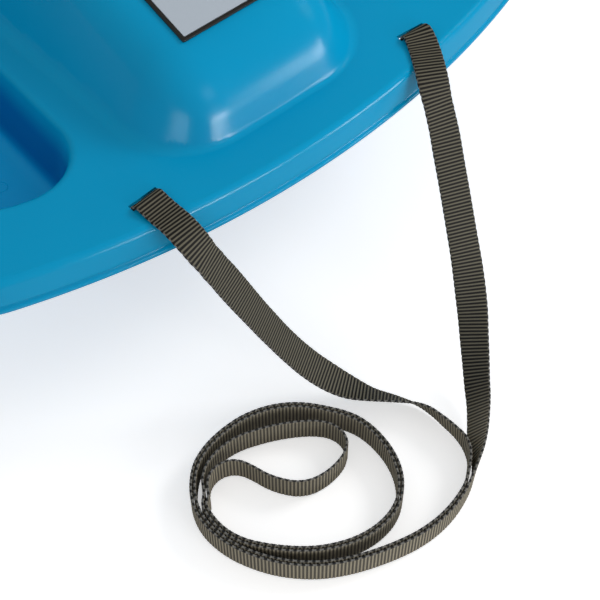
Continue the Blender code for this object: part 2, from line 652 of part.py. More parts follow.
def rail_profile():
    """The rail's upper line: y and z, following the keel's underside with a gap."""
    y = np.concatenate([
        np.linspace(BOW + RAIL_FRONT, BOW + KEEL_RISE_START + KEEL_RISE_LENGTH, 12),
        [BOW + RAIL_REAR],
    ])
    spare = RAIL_CURVE_GAP * smooth_step((BOW + KEEL_RISE_START + KEEL_RISE_LENGTH - y) / 0.03)
    z = keel_z(y) - spare
    step = 1e-4
    slope = (keel_z(y + step) - keel_z(y - step)) / (2 * step)
    size = np.hypot(1, slope)
    offset = WALL + GAP
    return y + slope / size * offset, z - offset / size


def build_rails(parts, cutters, finishes):
    """Two steel strips under the keels, their countersunk screws and the cap nuts in the channels."""
    y, z = rail_profile()
    for side, sign in SIDES:
        mesh = bpy.data.meshes.new("runner_rail_" + side)
        strip = bmesh.new()
        bmesh.ops.create_grid(strip, x_segments=1, y_segments=len(y) - 1, size=1.0)
        for vertex in strip.verts:
            index = round((vertex.co.y + 1) / 2 * (len(y) - 1))
            vertex.co = (sign * RAIL_X + vertex.co.x * RAIL_WIDTH / 2, y[index], z[index])
        strip.to_mesh(mesh)
        strip.free()
        rail = new_object(mesh.name, mesh, parts, finishes["steel"])
        plate = rail.modifiers.new("plate", "SOLIDIFY")
        plate.thickness = RAIL_THICKNESS
        plate.offset = -1
        plate.use_even_offset = True
        for index, station in enumerate(SCREW_STATIONS):
            place = (sign * RAIL_X, BOW + station)
            sink_radii = (SCREW_HEAD_RADIUS + 2 * GAP, SCREW_RADIUS + GAP)
            sink_depth = SCREW_HEAD_HEIGHT + 2 * GAP
            sink = cylinder(f"sink_{side}_{index}", sink_radii, sink_depth, 16, cutters)
            sink.location = (*place, sink_depth / 2 - GAP)
            boolean(rail, as_guide(sink), "DIFFERENCE")
            shaft = cylinder(
                f"rail_hole_{side}_{index}", (SCREW_RADIUS + GAP,) * 2, CUT_MARGIN, 16, cutters
            )
            shaft.location = (*place, 0)
            boolean(rail, as_guide(shaft), "DIFFERENCE")
            add_rail_screw(f"{side}_{index + 1}", place, parts, finishes)


def add_rail_screw(tail, place, parts, finishes):
    """A countersunk screw up through the rail and keel, and the cap nut on it."""
    top = KEEL_HEIGHT + SCREW_PROUD
    screw = turned(
        "rail_screw_" + tail,
        [(0, top), (SCREW_RADIUS, top), (SCREW_RADIUS, GAP + SCREW_HEAD_HEIGHT), (SCREW_HEAD_RADIUS, GAP),
         (0, GAP)],
        12, parts, finishes["zinc"],
    )
    screw.location = (*place, 0)
    seat = KEEL_HEIGHT + GAP
    bore = SCREW_RADIUS + GAP
    crown = seat + NUT_HEIGHT
    nut = turned(
        "cap_nut_" + tail,
        [(0, crown), (NUT_RADIUS * 0.55, crown - NUT_RADIUS * 0.18),
         (NUT_RADIUS * 0.9, crown - NUT_RADIUS * 0.55), (NUT_RADIUS, crown - NUT_RADIUS),
         (NUT_RADIUS, seat + NUT_FLANGE_HEIGHT), (NUT_FLANGE_RADIUS, seat + NUT_FLANGE_HEIGHT),
         (NUT_FLANGE_RADIUS, seat), (bore, seat), (bore, top + GAP), (0, top + GAP)],
        12, parts, finishes["zinc"],
    )
    nut.location = (*place, 0)


def spline_through(points):
    """Samples of a smooth curve through the points, close together in the bend out of the slot."""
    points = np.array(points, float)
    chord = np.linalg.norm(np.diff(points[:, :3], axis=0), axis=1)
    knots = np.concatenate([[0], np.cumsum(chord)])
    slopes = np.gradient(points, knots, axis=0)
    fine = np.linspace(0, knots[-1], 40 * len(points))
    index = np.clip(np.searchsorted(knots, fine, side="right") - 1, 0, len(points) - 2)
    width = (knots[index + 1] - knots[index])[:, None]
    t = ((fine - knots[index]) / width[:, 0])[:, None]
    start, end = points[index], points[index + 1]
    rise, fall = slopes[index] * width, slopes[index + 1] * width
    curve = (2 * t**3 - 3 * t**2 + 1) * start + (t**3 - 2 * t**2 + t) * rise
    curve += (3 * t**2 - 2 * t**3) * end + (t**3 - t**2) * fall
    run = np.concatenate([[0], np.cumsum(np.linalg.norm(np.diff(curve[:, :3], axis=0), axis=1))])
    rest = int(round((run[-1] - STRAP_BEND_LENGTH) / STRAP_STEP))
    stations = np.concatenate([
        np.arange(0, STRAP_BEND_LENGTH, STRAP_BEND_STEP), np.linspace(STRAP_BEND_LENGTH, run[-1], rest + 1)
    ])
    return np.stack([np.interp(stations, run, curve[:, k]) for k in range(curve.shape[1])], axis=1)


def standing(points, lean, offset):
    """Route points of webbing that stands on its edge, moved sideways to one strand's place."""
    plan = np.array(points, float)
    along = np.gradient(plan, axis=0)
    along /= np.linalg.norm(along, axis=1)[:, None]
    outward = np.stack([-along[:, 1], along[:, 0]], axis=1)
    plan = plan + outward * offset
    level = np.full((len(plan), 1), STANDING_HEIGHT)
    turn = np.full((len(plan), 1), lean)
    return np.hstack([plan, level, turn])


def strap_route(side):
    """The whole route of one half of the strap, from its slot to the fold."""
    leg = np.array(RIGHT_LEG if side == "right" else LEFT_LEG, float)
    lean = -STANDING_LEAN if side == "right" else STANDING_LEAN
    offset = -STRAND_OFFSET if side == "right" else STRAND_OFFSET
    pair = standing(PAIR, lean, offset)
    eye = standing(RIGHT_EYE if side == "right" else LEFT_EYE, lean, 0.0)
    return np.vstack([leg, pair, eye])


def width_directions(route):
    """The unit vector across the webbing at each point, from the route's direction and lean."""
    along = np.gradient(route[:, :3], axis=0)
    along /= np.linalg.norm(along, axis=1)[:, None]
    level = np.cross((0.0, 0.0, 1.0), along)
    size = np.linalg.norm(level, axis=1)
    level[size < 0.2] = (1.0, 0.0, 0.0)
    level -= along * np.sum(level * along, axis=1)[:, None]
    level /= np.linalg.norm(level, axis=1)[:, None]
    raised = np.cross(along, level)
    turn = np.radians(route[:, 3])[:, None]
    return np.cos(turn) * level + np.sin(turn) * raised


def build_strap(parts, finishes):
    """The two halves of the pull strap, with the sewn end loop and cross bar of each."""
    for side, sign in SIDES:
        route = spline_through(strap_route(side))
        across = width_directions(route) * STRAP_WIDTH / 2
        left, right = route[:, :3] - across, route[:, :3] + across
        mesh = bpy.data.meshes.new("pull_strap_" + side)
        band = bmesh.new()
        bmesh.ops.create_grid(band, x_segments=1, y_segments=len(route) - 1, size=1.0)
        for vertex in band.verts:
            index = round((vertex.co.y + 1) / 2 * (len(route) - 1))
            vertex.co = left[index] if vertex.co.x < 0 else right[index]
        band.to_mesh(mesh)
        band.free()
        strap = new_object(mesh.name, mesh, parts, finishes["webbing"])
        body = strap.modifiers.new("thickness", "SOLIDIFY")
        body.thickness = STRAP_THICKNESS
        body.offset = 0
        body.use_even_offset = True
        add_strap_end(side, route[0], parts, finishes)


def add_strap_end(side, start, parts, finishes):
    """The sewn loop at the strap's end under the flange, and the bar that the loop holds."""
    ring_inner = BAR_RADIUS + GAP
    ring_outer = ring_inner + STRAP_THICKNESS
    stem = STRAP_THICKNESS + GAP
    opening = math.asin(stem / ring_outer)
    ring = arc((0, 0), ring_outer, math.pi / 2 + opening, math.pi / 2 - opening + math.tau, 18)
    outline = ring + [(stem, LOOP_STEM), (-stem, LOOP_STEM)]
    hole = arc((0, 0), ring_inner, 0, math.tau * 11 / 12, 12)
    mesh = plate_mesh("strap_loop_" + side, [outline, hole], STRAP_WIDTH)
    loop = new_object(mesh.name, mesh, parts, finishes["webbing"])
    top = start[2] - GAP
    turn = Matrix(((0, 0, 1), (1, 0, 0), (0, 1, 0))).to_4x4()
    loop.matrix_world = Matrix.Translation((start[0], start[1], top - LOOP_STEM)) @ turn
    bar = cylinder("strap_bar_" + side, (BAR_RADIUS, BAR_RADIUS), BAR_LENGTH, 12, parts)
    bar.data.materials.append(finishes["zinc"])
    bar.location = (start[0], start[1], top - LOOP_STEM)
    bar.rotation_euler.y = math.pi / 2
    smooth_shade(bar.data)


def along(angle, distance, across=0.0):
    """A point in the lever's plane at a distance along an angle and to its left."""
    return (
        distance * math.cos(angle) - across * math.sin(angle),
        distance * math.sin(angle) + across * math.cos(angle),
    )


def lever_outline():
    """The lever's outline about its pivot: the claw arm, the hub and the handle."""
    handle = math.pi / 2 + HANDLE_REST
    arm = -ARM_REST
    spread_arm = math.asin(ARM_HALF_WIDTH / HUB_RADIUS)
    spread_handle = math.asin(HANDLE_HALF_WIDTH / HUB_RADIUS)
    arm_end = along(arm, ARM_LENGTH)
    handle_end = along(handle, HANDLE_LENGTH - HANDLE_HALF_WIDTH)
    outline = arc(arm_end, ARM_HALF_WIDTH, arm - math.pi / 2, arm + math.pi / 2, 9)
    outline += arc((0, 0), HUB_RADIUS, arm + spread_arm, handle - spread_handle, 8)
    outline += arc(handle_end, HANDLE_HALF_WIDTH, handle - math.pi / 2, handle + math.pi / 2, 9)
    outline += arc((0, 0), HUB_RADIUS, handle + spread_handle, arm - spread_arm + math.tau, 12)
    return outline


def round_hole(centre, radius, count=12):
    """A closed circle of points."""
    return arc(centre, radius, 0, math.tau * (count - 1) / count, count)


def rivet_places():
    """Where the two rivets sit on the claw arm."""
    outer = ARM_LENGTH - RIVET_INSET
    return [along(-ARM_REST, outer), along(-ARM_REST, outer - RIVET_SPACING)]


def claw_outline():
    """The toothed steel plate: straight sides along the arm and a row of teeth past its end."""
    arm = -ARM_REST
    back = ARM_LENGTH - RIVET_SPACING - CLAW_OVERHANG
    tip = ARM_LENGTH + CLAW_REACH
    root = tip - CLAW_TOOTH
    outline = [along(arm, back, CLAW_HALF_WIDTH * 0.6), along(arm, back, -CLAW_HALF_WIDTH * 0.6)]
    outline.append(along(arm, ARM_LENGTH, -CLAW_HALF_WIDTH))
    pitch = 2 * CLAW_HALF_WIDTH / CLAW_TEETH
    for tooth in range(CLAW_TEETH):
        low = -CLAW_HALF_WIDTH + tooth * pitch
        outline.append(along(arm, root, low + 0.05 * pitch))
        outline.append(along(arm, tip, low + 0.30 * pitch))
        outline.append(along(arm, tip, low + 0.55 * pitch))
        outline.append(along(arm, root, low + 0.95 * pitch))
    outline.append(along(arm, ARM_LENGTH, CLAW_HALF_WIDTH))
    return outline


def grip_loop(start, end, half):
    """An outline along the handle, flat at its lower end and round at its top."""
    handle = math.pi / 2 + HANDLE_REST
    loop = [along(handle, start, half), along(handle, start, -half)]
    return loop + arc(along(handle, end - half), half, handle - math.pi / 2, handle + math.pi / 2, 9)


def build_brake(side, sign, parts, cutters, finishes):
    """One hand brake: lever, grip, claw and rivets turn about the stud, with its washers and nut."""
    pivot = bpy.data.objects.new("brake_pivot_" + side, None)
    pivot.location = (sign * LEVER_X, PIVOT_Y, PIVOT_HEIGHT)
    parts.objects.link(pivot)
    upright = Matrix(((0, 0, 1), (1, 0, 0), (0, 1, 0))).to_4x4()
    outward = LEVER_THICKNESS / 2 + GAP

    def plate(name, loops, thickness, shift, finish, rounding):
        mesh = plate_mesh(name, loops, thickness)
        piece = new_object(name, mesh, parts, finish)
        piece.parent = pivot
        piece.matrix_local = Matrix.Translation((sign * shift, 0, 0)) @ upright
        if rounding:
            round_edges(piece, rounding, 1)
        return piece

    holes = [round_hole((0, 0), STUD_RADIUS + GAP, 16)]
    holes += [round_hole(place, RIVET_RADIUS + GAP) for place in rivet_places()]
    plate("brake_lever_" + side, [lever_outline()] + holes, LEVER_THICKNESS, 0, finishes["lever"], 0)
    claw_loops = [claw_outline()] + holes[1:]
    plate("brake_claw_" + side, claw_loops, CLAW_THICKNESS, outward + CLAW_THICKNESS / 2,
          finishes["steel"], 0)

    top = HANDLE_LENGTH + GRIP_WALL + GAP
    sleeve = grip_loop(GRIP_START, top, HANDLE_HALF_WIDTH + GAP + GRIP_WALL)
    grip = plate("brake_grip_" + side, [sleeve], LEVER_THICKNESS + 2 * (GAP + GRIP_WALL), 0,
                 finishes["rubber"], GRIP_WALL * 0.8)
    pocket_loop = grip_loop(GRIP_START - CUT_MARGIN, HANDLE_LENGTH + GAP, HANDLE_HALF_WIDTH + GAP)
    pocket_mesh = plate_mesh("grip_pocket_" + side, [pocket_loop], LEVER_THICKNESS + 2 * GAP)
    pocket = new_object(pocket_mesh.name, pocket_mesh, cutters)
    pocket.parent = pivot
    pocket.matrix_local = upright
    boolean(grip, as_guide(pocket), "DIFFERENCE")

    turn_out = Matrix.Rotation(sign * math.pi / 2, 4, "Y")
    head_out = outward + CLAW_THICKNESS + GAP
    for index, (y, z) in enumerate(rivet_places()):
        profile = [
            (0, head_out + RIVET_HEAD_HEIGHT), (RIVET_HEAD_RADIUS * 0.6, head_out + RIVET_HEAD_HEIGHT),
            (RIVET_HEAD_RADIUS, head_out + RIVET_HEAD_HEIGHT * 0.4), (RIVET_HEAD_RADIUS, head_out),
            (RIVET_RADIUS, head_out), (RIVET_RADIUS, -outward), (RIVET_HEAD_RADIUS, -outward),
            (RIVET_HEAD_RADIUS * 0.7, -outward - RIVET_HEAD_HEIGHT), (0, -outward - RIVET_HEAD_HEIGHT),
        ]
        rivet = turned(f"claw_rivet_{side}_{index + 1}", profile, 12, parts, finishes["zinc"])
        rivet.parent = pivot
        rivet.matrix_local = Matrix.Translation((0, y, z)) @ turn_out

    bore = STUD_RADIUS + GAP
    inner = BOSS_FACE_X + GAP
    outer = LEVER_X + outward
    nut_face = outer + WASHER_THICKNESS + GAP
    end = nut_face + LOCK_NUT_HEIGHT + STUD_PROUD
    place = Matrix.Translation((0, PIVOT_Y, PIVOT_HEIGHT)) @ turn_out
    start = BOSS_FACE_X - STUD_DEPTH + GAP
    stud = turned(
        "pivot_stud_" + side,
        [(0, end), (STUD_RADIUS * 0.8, end), (STUD_RADIUS, end - STUD_CHAMFER), (STUD_RADIUS, start),
         (0, start)],
        16, parts, finishes["zinc"],
    )
    stud.matrix_world = place
    for name, foot in (("inner_washer_", inner), ("outer_washer_", outer)):
        ring = [(bore, foot + WASHER_THICKNESS), (WASHER_RADIUS, foot + WASHER_THICKNESS),
                (WASHER_RADIUS, foot), (bore, foot), (bore, foot + WASHER_THICKNESS)]
        washer = turned(name + side, ring, 16, parts, finishes["zinc"])
        washer.matrix_world = place
    hexagon = arc((0, 0), LOCK_NUT_RADIUS, 0, math.tau * 5 / 6, 6)
    nut_mesh = plate_mesh("lock_nut_" + side, [hexagon, round_hole((0, 0), bore)], LOCK_NUT_HEIGHT)
    nut = new_object(nut_mesh.name, nut_mesh, parts, finishes["zinc"])
    nut_middle = sign * (nut_face + LOCK_NUT_HEIGHT / 2)
    nut.matrix_world = Matrix.Translation((nut_middle, PIVOT_Y, PIVOT_HEIGHT)) @ upright


def main():
    """Clears the scene and builds every piece."""
    for old in list(bpy.data.objects):
        bpy.data.objects.remove(old)
    parts = bpy.data.collections.new("plastic_sled")
    cutters = bpy.data.collections.new("cutters")
    for collection in (parts, cutters):
        bpy.context.scene.collection.children.link(collection)
    finishes = {
        "hull": material("blue_plastic", (0.0, 0.21, 0.43), 0.22),
        "frame": material("black_frame", (0.01, 0.01, 0.012), 0.35),
        "card": material("pale_card", (0.62, 0.67, 0.71), 0.45),
        "webbing": material("khaki_webbing", (0.12, 0.11, 0.085), 0.85),
        "steel": material("galvanised_steel", (0.55, 0.56, 0.57), 0.38, 1.0),
        "zinc": material("zinc_fasteners", (0.62, 0.62, 0.60), 0.32, 1.0),
        "lever": material("black_plastic", (0.015, 0.015, 0.017), 0.4),
        "rubber": material("grip_rubber", (0.02, 0.02, 0.02), 0.7),
    }
    build_hull(parts, cutters, finishes)
    build_label(parts, finishes)
    build_rails(parts, cutters, finishes)
    build_strap(parts, finishes)
    for side, sign in SIDES:
        build_brake(side, sign, parts, cutters, finishes)


main()
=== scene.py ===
"""The looks of the plastic sled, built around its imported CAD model.

Metres, +Z up. The bow points along -Y, the rider's right side is -X, and the floor is z = 0.
"""

import math

import bpy
import numpy as np
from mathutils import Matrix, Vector


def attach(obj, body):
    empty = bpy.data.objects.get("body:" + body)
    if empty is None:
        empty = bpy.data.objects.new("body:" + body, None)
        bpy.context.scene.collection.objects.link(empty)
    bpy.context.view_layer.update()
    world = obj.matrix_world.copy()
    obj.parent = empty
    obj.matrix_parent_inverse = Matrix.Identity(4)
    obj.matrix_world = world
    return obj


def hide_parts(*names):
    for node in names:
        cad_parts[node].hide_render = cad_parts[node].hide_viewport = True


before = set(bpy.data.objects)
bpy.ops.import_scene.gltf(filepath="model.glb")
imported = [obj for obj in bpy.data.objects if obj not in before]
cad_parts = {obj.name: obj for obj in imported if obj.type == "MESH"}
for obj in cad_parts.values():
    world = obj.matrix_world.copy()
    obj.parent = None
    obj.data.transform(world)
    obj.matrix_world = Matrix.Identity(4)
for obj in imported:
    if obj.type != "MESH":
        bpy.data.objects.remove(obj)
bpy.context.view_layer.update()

# Hull
LENGTH = 1.05
WIDTH = 0.54
RIM_HEIGHT = 0.155
TAIL_RISE = 0.07
TAIL_RISE_START = 0.625
TAIL_RISE_LENGTH = 0.34
WALL = 0.003
BOW_RADIUS = 0.63
STERN_RADIUS = 0.50
BOW_CORNER = 0.075
STERN_CORNER = 0.12
FLANGE = 0.056
RIM_ROLL = 0.0085
LIP_DROP = 0.022
ROW_BEND_REACH = 0.44
WELL_INNER = 0.1095
WELL_CORNER = 0.046
WELL_SWEEP = 0.11
ISLAND_LENGTH = 0.385
ISLAND_CORNER = 0.05
DRAFT = math.radians(12)
BACKREST_LEAN = math.radians(24)
BACKREST_REACH = 0.20
WELL_EDGE_RADIUS = 0.005
WELL_FOOT_RADIUS = 0.012
BACKREST_FOOT_RADIUS = 0.045
FRONT_FLOOR = 0.105
SEAT_FLOOR = 0.030
RAMP_START = 0.165
RAMP_LENGTH = 0.26

# Console
CONSOLE_SETBACK = 0.0364
CONSOLE_LENGTH = 0.3136
CONSOLE_HALF_WIDTH = 0.0835
CONSOLE_CORNER = 0.050
CONSOLE_FLARE = 0.05
CONSOLE_FLARE_START = 0.066
CONSOLE_CREST = 0.056
CONSOLE_NOSE_HEIGHT = 0.036
CONSOLE_PITCH = math.radians(12)
CONSOLE_PEAK = 0.20
CONSOLE_FALL = 0.25
CONSOLE_FRONT_LEAN = math.radians(24)
CONSOLE_FRONT_RADIUS = 0.041
CONSOLE_SIDE_RADIUS = 0.036
CONSOLE_FRONT_FOOT_RADIUS = 0.0045
CONSOLE_SIDE_FOOT_RADIUS = 0.012
PEAK_SOFTNESS = 0.004

# Keel channels and runners
RAIL_THICKNESS = 0.003
RAIL_X = 0.158
KEEL_HALF_WIDTH = 0.0105
KEEL_SIDE_RUN = 0.0095
KEEL_END_RUN = 0.025
KEEL_CURL = 0.45
KEEL_SOFTNESS = 0.0016
KEEL_FRONT_LIFT = 0.004
KEEL_RISE_START = 0.18
KEEL_RISE_LENGTH = 0.245
KEEL_END = 0.875

# Strap slots and webbing
STRAP_SLOT_X = 0.1038
STRAP_SLOT_SETBACK = 0.0364
STRAP_SLOT_LENGTH = 0.0204
STRAP_SLOT_WIDTH = 0.005
STRAP_SLOT_TOE = math.radians(4.4)
STRAP_WIDTH = 0.020
STRAP_THICKNESS = 0.0018
STRAND_OFFSET = 0.00115
RIB_PITCH = 0.00223
RIB_STEPS = 6
STRAP_STEP = RIB_PITCH / RIB_STEPS
RIB_GROOVE = 0.0003
EDGE_ARCH = 0.0003
WEBBING_FACE_STEPS = 9
WEBBING_EDGE_STEPS = 3
SPLINE_STEPS = 40
UPRIGHT = 0.2

# Hand brakes
PIVOT_STATION = 0.555
PIVOT_HEIGHT = 0.090
BOSS_RADIUS = 0.017
BOSS_FACE_X = 0.2297
LEVER_THICKNESS = 0.012
HANDLE_HALF_WIDTH = 0.008
HANDLE_REST = math.radians(19)
BRAKE_SWING = math.radians(38)
WASHER_THICKNESS = 0.0013
WASHER_RADIUS = 0.009
HUB_RADIUS = 0.0165
HANDLE_LENGTH = 0.165
ARM_LENGTH = 0.082
ARM_HALF_WIDTH = 0.010
ARM_REST = math.radians(28)
GRIP_START = 0.085
GRIP_WALL = 0.003
GRIP_RIB = 0.0011
GRIP_RIB_PITCH = 0.0052
GRIP_COLLAR = 0.004
GRIP_SQUARENESS = 3.2
GRIP_WAIST = 0.35
GRIP_FADE = (0.003, 0.004)
GRIP_CAP_TAPER = 0.6
GRIP_CREASE = math.radians(50)
GRIP_BODY_STEPS, GRIP_CAP_STEPS, GRIP_ROUND_STEPS = 140, 24, 48
CLAW_THICKNESS = 0.003
CLAW_REACH = 0.034
CLAW_HALF_WIDTH = 0.014
CLAW_TOOTH = 0.009
CLAW_OVERHANG = 0.010
CLAW_TEETH = 3
CLAW_TOOTH_SHAPE = (0.05, 0.30, 0.55, 0.95)
CLAW_NECK = 0.6
CLAW_EASE = 0.0004
CLAW_CREASE = math.radians(20)
RIVET_RADIUS = 0.0025
RIVET_HEAD_RADIUS = 0.0045
RIVET_HEAD_HEIGHT = 0.0018
RIVET_SPACING = 0.016
RIVET_INSET = 0.002
RIVET_STEPS = 7
DOME_SHARE = 0.97
STUD_RADIUS = 0.004
LOCK_NUT_RADIUS = 0.0075
LOCK_NUT_HEIGHT = 0.006
STUD_PROUD = 0.0015
STUD_CHAMFER = 0.001
BOSS_FILLET = 0.004
BOSS_EDGE = 0.0008
EASE = 0.0002
LOCK_NUT_CHAMFER = 0.00042
POCKET_START = 0.021
POCKET_RIB = 0.0032
POCKET_DEPTH = 0.0035
CUT_SPARE = 0.002
LEVER_ROUNDING = 0.0009
LEVER_STEPS, HUB_STEPS, POCKET_STEPS = 25, 40, 13

# Runner screws and their cap nuts
SCREW_RADIUS = 0.0025
SCREW_HEAD_RADIUS = 0.0046
SCREW_HEAD_HEIGHT = 0.0021
SCREW_SOCKET_FLATS = 0.0016
SCREW_SOCKET_DEPTH = 0.0014
SCREW_STATIONS = (0.455, 0.65, 0.845)
NUT_HEIGHT = 0.0085
NUT_RADIUS = 0.0052
NUT_FLATS = 0.0045
NUT_FLANGE_RADIUS = 0.0072
NUT_FLANGE_HEIGHT = 0.0014
NUT_HEX_HEIGHT = 0.0035
DOME_RADIUS = 0.0042
TURN_STEPS = 72
CREASE = math.radians(30)

# Clearances
GAP = 0.0003
SLIT_CLEARANCE = 0.0012
SIDE_CLEARANCE = 0.002

# Places that follow from the sizes
BOW = -LENGTH / 2
STERN = LENGTH / 2
SLOT_Y = BOW + STRAP_SLOT_SETBACK
CONSOLE_FRONT = BOW + CONSOLE_SETBACK
KEEL_HEIGHT = RAIL_THICKNESS + GAP + WALL
LEVER_X = BOSS_FACE_X + 2 * GAP + WASHER_THICKNESS + LEVER_THICKNESS / 2
PIVOT_Y = BOW + PIVOT_STATION
SIDES = (("right", -1), ("left", 1))

# Fineness of the hull's meshes
HOLE_PULL = 5
NORMAL_STEP = 0.0002
ROLL_RADIUS = 0.005
ROLL_STEPS = 8
BAND_LEAN = math.radians(11.5)

# Studio
FLOOR_SIZE = 8.0
FLOOR_GLOW = 0.52
FLOOR_FADE = (0.28, 0.45)
FLOOR_FAR = 0.15
FLOOR_COLOUR = (0.86, 0.86, 0.86)
FLOOR_IN_GLOSS = (0.08, 0.08, 0.08)
SURROUND = 0.60
CEILING = 0.05
CEILING_EDGE = (-0.05, 0.03)
LAMPS = (
    ("key", (1.33, -0.90, 1.20), (0.0, -0.42, 0.10), (0.60, 0.60), 9.5, False),
    ("front_fill", (0.10, -2.10, 0.50), (0.0, -0.60, 0.05), (0.60, 0.50), 5.0, False),
    ("front_box", (0.613, -1.267, 0.262), (0.0, -0.482, 0.166), (0.35, 0.29), 3.5, True),
    ("front_streak", (0.066, -1.475, 0.215), (-0.04, -0.482, 0.166), (0.50, 0.09), 3.8, True),
    ("front_high", (0.137, -2.096, 1.330), (-0.06, -0.490, 0.155), (0.60, 0.50), 1.6, True),
    ("side_low", (-1.033, -1.175, 0.257), (-0.065, -0.472, 0.163), (0.50, 0.19), 2.0, True),
)

# Finish of the hull: each pair of colours is blended, and each pair of numbers is a fade's two ends
HULL_ROUGHNESS = 0.22
HULL_SPECULAR = 0.25
HULL_RELIEF = 0.00025
OPEN_BLUE = ((0.0, 0.315, 0.585), (0.0, 0.340, 0.620))
# Painted light and shade in the tub: the first blue is painted on its steep walls as shade, the second
# on its level floors as painted light.
TUB_PAINTED_SHADE_BLUE = ((0.0, 0.140, 0.420), (0.0, 0.410, 0.820))
TUB_START = -0.485
TUB_SHADE_FADE = (0.002, 0.024)
TUB_SHADE_TILT = (0.35, 0.95)
WELL_RING = (0.145, -0.39, 0.004, 0.0007)

# Finish of the webbing: the grooves' colour, near black as painted shade, and the ribs' colour
# The legs' colours are painted darker as shade and the coil's paler as painted light: both are one
# webbing.
SHADED_LEG_CLOTH = ((0.009, 0.008, 0.006), (0.165, 0.151, 0.105))
LIT_COIL_CLOTH = ((0.085, 0.075, 0.056), (0.390, 0.345, 0.245))
LOOP_CLOTH = ((0.016, 0.015, 0.013), (0.235, 0.215, 0.168))
BRAID = ((0.012, 0.012, 0.012), (0.17, 0.165, 0.15))
LIT_COIL_RIBS = (108, 128)
BRAID_EDGE = (0.93, 0.97)
WEBBING_ROUGHNESS = 0.85

# Label
LABEL_WIDTH = 0.074
LABEL_LENGTH = 0.105
LABEL_BORDER = 0.0025
LABEL_SETBACK = 0.043
FRAME_THICKNESS = 0.0016
CARD_THICKNESS = 0.0011
LABEL_CORNER = 0.0016
LABEL_CORNER_STEPS = 8

# Camera
CAMERA_PLACE = (-0.35305, -0.9192, 0.7482)
CAMERA_TARGET = (-0.08214, -0.6016, 0.155)
SENSOR = 36.0
FOCAL_PIXELS = 1350.08
PICTURE_PIXELS = 600
CLIP_START = 0.05


def add_camera():
    """The photograph's view of the bow."""
    lens = bpy.data.cameras.new("camera")
    lens.sensor_width = SENSOR
    lens.lens = FOCAL_PIXELS * SENSOR / PICTURE_PIXELS
    lens.clip_start = CLIP_START
    camera = bpy.data.objects.new("camera", lens)
    camera.location = CAMERA_PLACE
    look = Vector(CAMERA_TARGET) - Vector(CAMERA_PLACE)
    camera.rotation_euler = look.to_track_quat("-Z", "Y").to_euler()
    bpy.context.scene.collection.objects.link(camera)
    bpy.context.scene.camera = camera


def new_piece(name, points, faces, finish, uv=None, normals=None):
    """An object from points and faces of any size, with smooth shading."""
    mesh = bpy.data.meshes.new(name)
    faces = [np.asarray(group, dtype=np.int32) for group in faces if len(group)]
    loops = np.concatenate([group.ravel() for group in faces])
    sizes = np.concatenate([np.full(len(group), group.shape[1], dtype=np.int32) for group in faces])
    starts = np.concatenate([[0], np.cumsum(sizes)[:-1]]).astype(np.int32)
    mesh.vertices.add(len(points))
    mesh.vertices.foreach_set("co", np.asarray(points, dtype=np.float32).ravel())
    mesh.loops.add(len(loops))
    mesh.loops.foreach_set("vertex_index", loops)
    mesh.polygons.add(len(sizes))
    mesh.polygons.foreach_set("loop_start", starts)
    mesh.update(calc_edges=True)
    mesh.polygons.foreach_set("use_smooth", np.ones(len(sizes), dtype=bool))
    if uv is not None:
        layer = mesh.uv_layers.new(name="weave")
        layer.data.foreach_set("uv", np.asarray(uv, dtype=np.float32)[loops].ravel())
    if normals is not None:
        mesh.normals_split_custom_set_from_vertices(np.asarray(normals, dtype=np.float32))
    mesh.validate()
    mesh.materials.append(finish)
    made = bpy.data.objects.new(name, mesh)
    bpy.context.scene.collection.objects.link(made)
    return made


def grid_faces(rows, columns, close_rows=False, close_columns=False):
    """Quads of a grid of points laid out row after row."""
    last_row = rows if close_rows else rows - 1
    last_column = columns if close_columns else columns - 1
    row, column = np.meshgrid(np.arange(last_row), np.arange(last_column), indexing="ij")
    after_row, after_column = (row + 1) % rows, (column + 1) % columns
    quads = [row * columns + column, row * columns + after_column,
             after_row * columns + after_column, after_row * columns + column]
    return np.stack([q.ravel() for q in quads], axis=1)


def tube_faces(rows, columns, flip=False):
    """The faces of a closed tube of rings with a face over each end, turned inside out if asked."""
    ring = np.arange(columns)[None]
    quads = grid_faces(rows, columns, close_columns=True)
    faces = [quads, ring[:, ::-1], (rows - 1) * columns + ring]
    return [group[:, ::-1] for group in faces] if flip else faces


def unit(vectors):
    """Vectors scaled to length 1."""
    return vectors / np.maximum(np.linalg.norm(vectors, axis=-1, keepdims=True), 1e-12)


class Sum:
    """A shader socket that takes part in ordinary sums, so that a formula reads as one."""

    def __init__(self, tree, socket):
        self.tree = tree
        self.socket = socket

    def maths(self, operation, *others):
        """One Math node fed by this value and the others."""
        made = self.tree.nodes.new("ShaderNodeMath")
        made.operation = operation
        for place, value in zip(made.inputs, (self, *others)):
            if isinstance(value, Sum):
                self.tree.links.new(value.socket, place)
            else:
                place.default_value = value
        return Sum(self.tree, made.outputs[0])

    def __add__(self, other):
        return self.maths("ADD", other)

    __radd__ = __add__

    def __mul__(self, other):
        return self.maths("MULTIPLY", other)

    __rmul__ = __mul__

    def __sub__(self, other):
        return self.maths("SUBTRACT", other)

    def __rsub__(self, other):
        return (self * -1.0) + other

    def step(self, low, high):
        """0 below low, 1 above high, smooth between."""
        made = self.tree.nodes.new("ShaderNodeMapRange")
        made.interpolation_type = "SMOOTHSTEP"
        self.tree.links.new(self.socket, made.inputs["Value"])
        made.inputs["From Min"].default_value = low
        made.inputs["From Max"].default_value = high
        return Sum(self.tree, made.outputs["Result"])


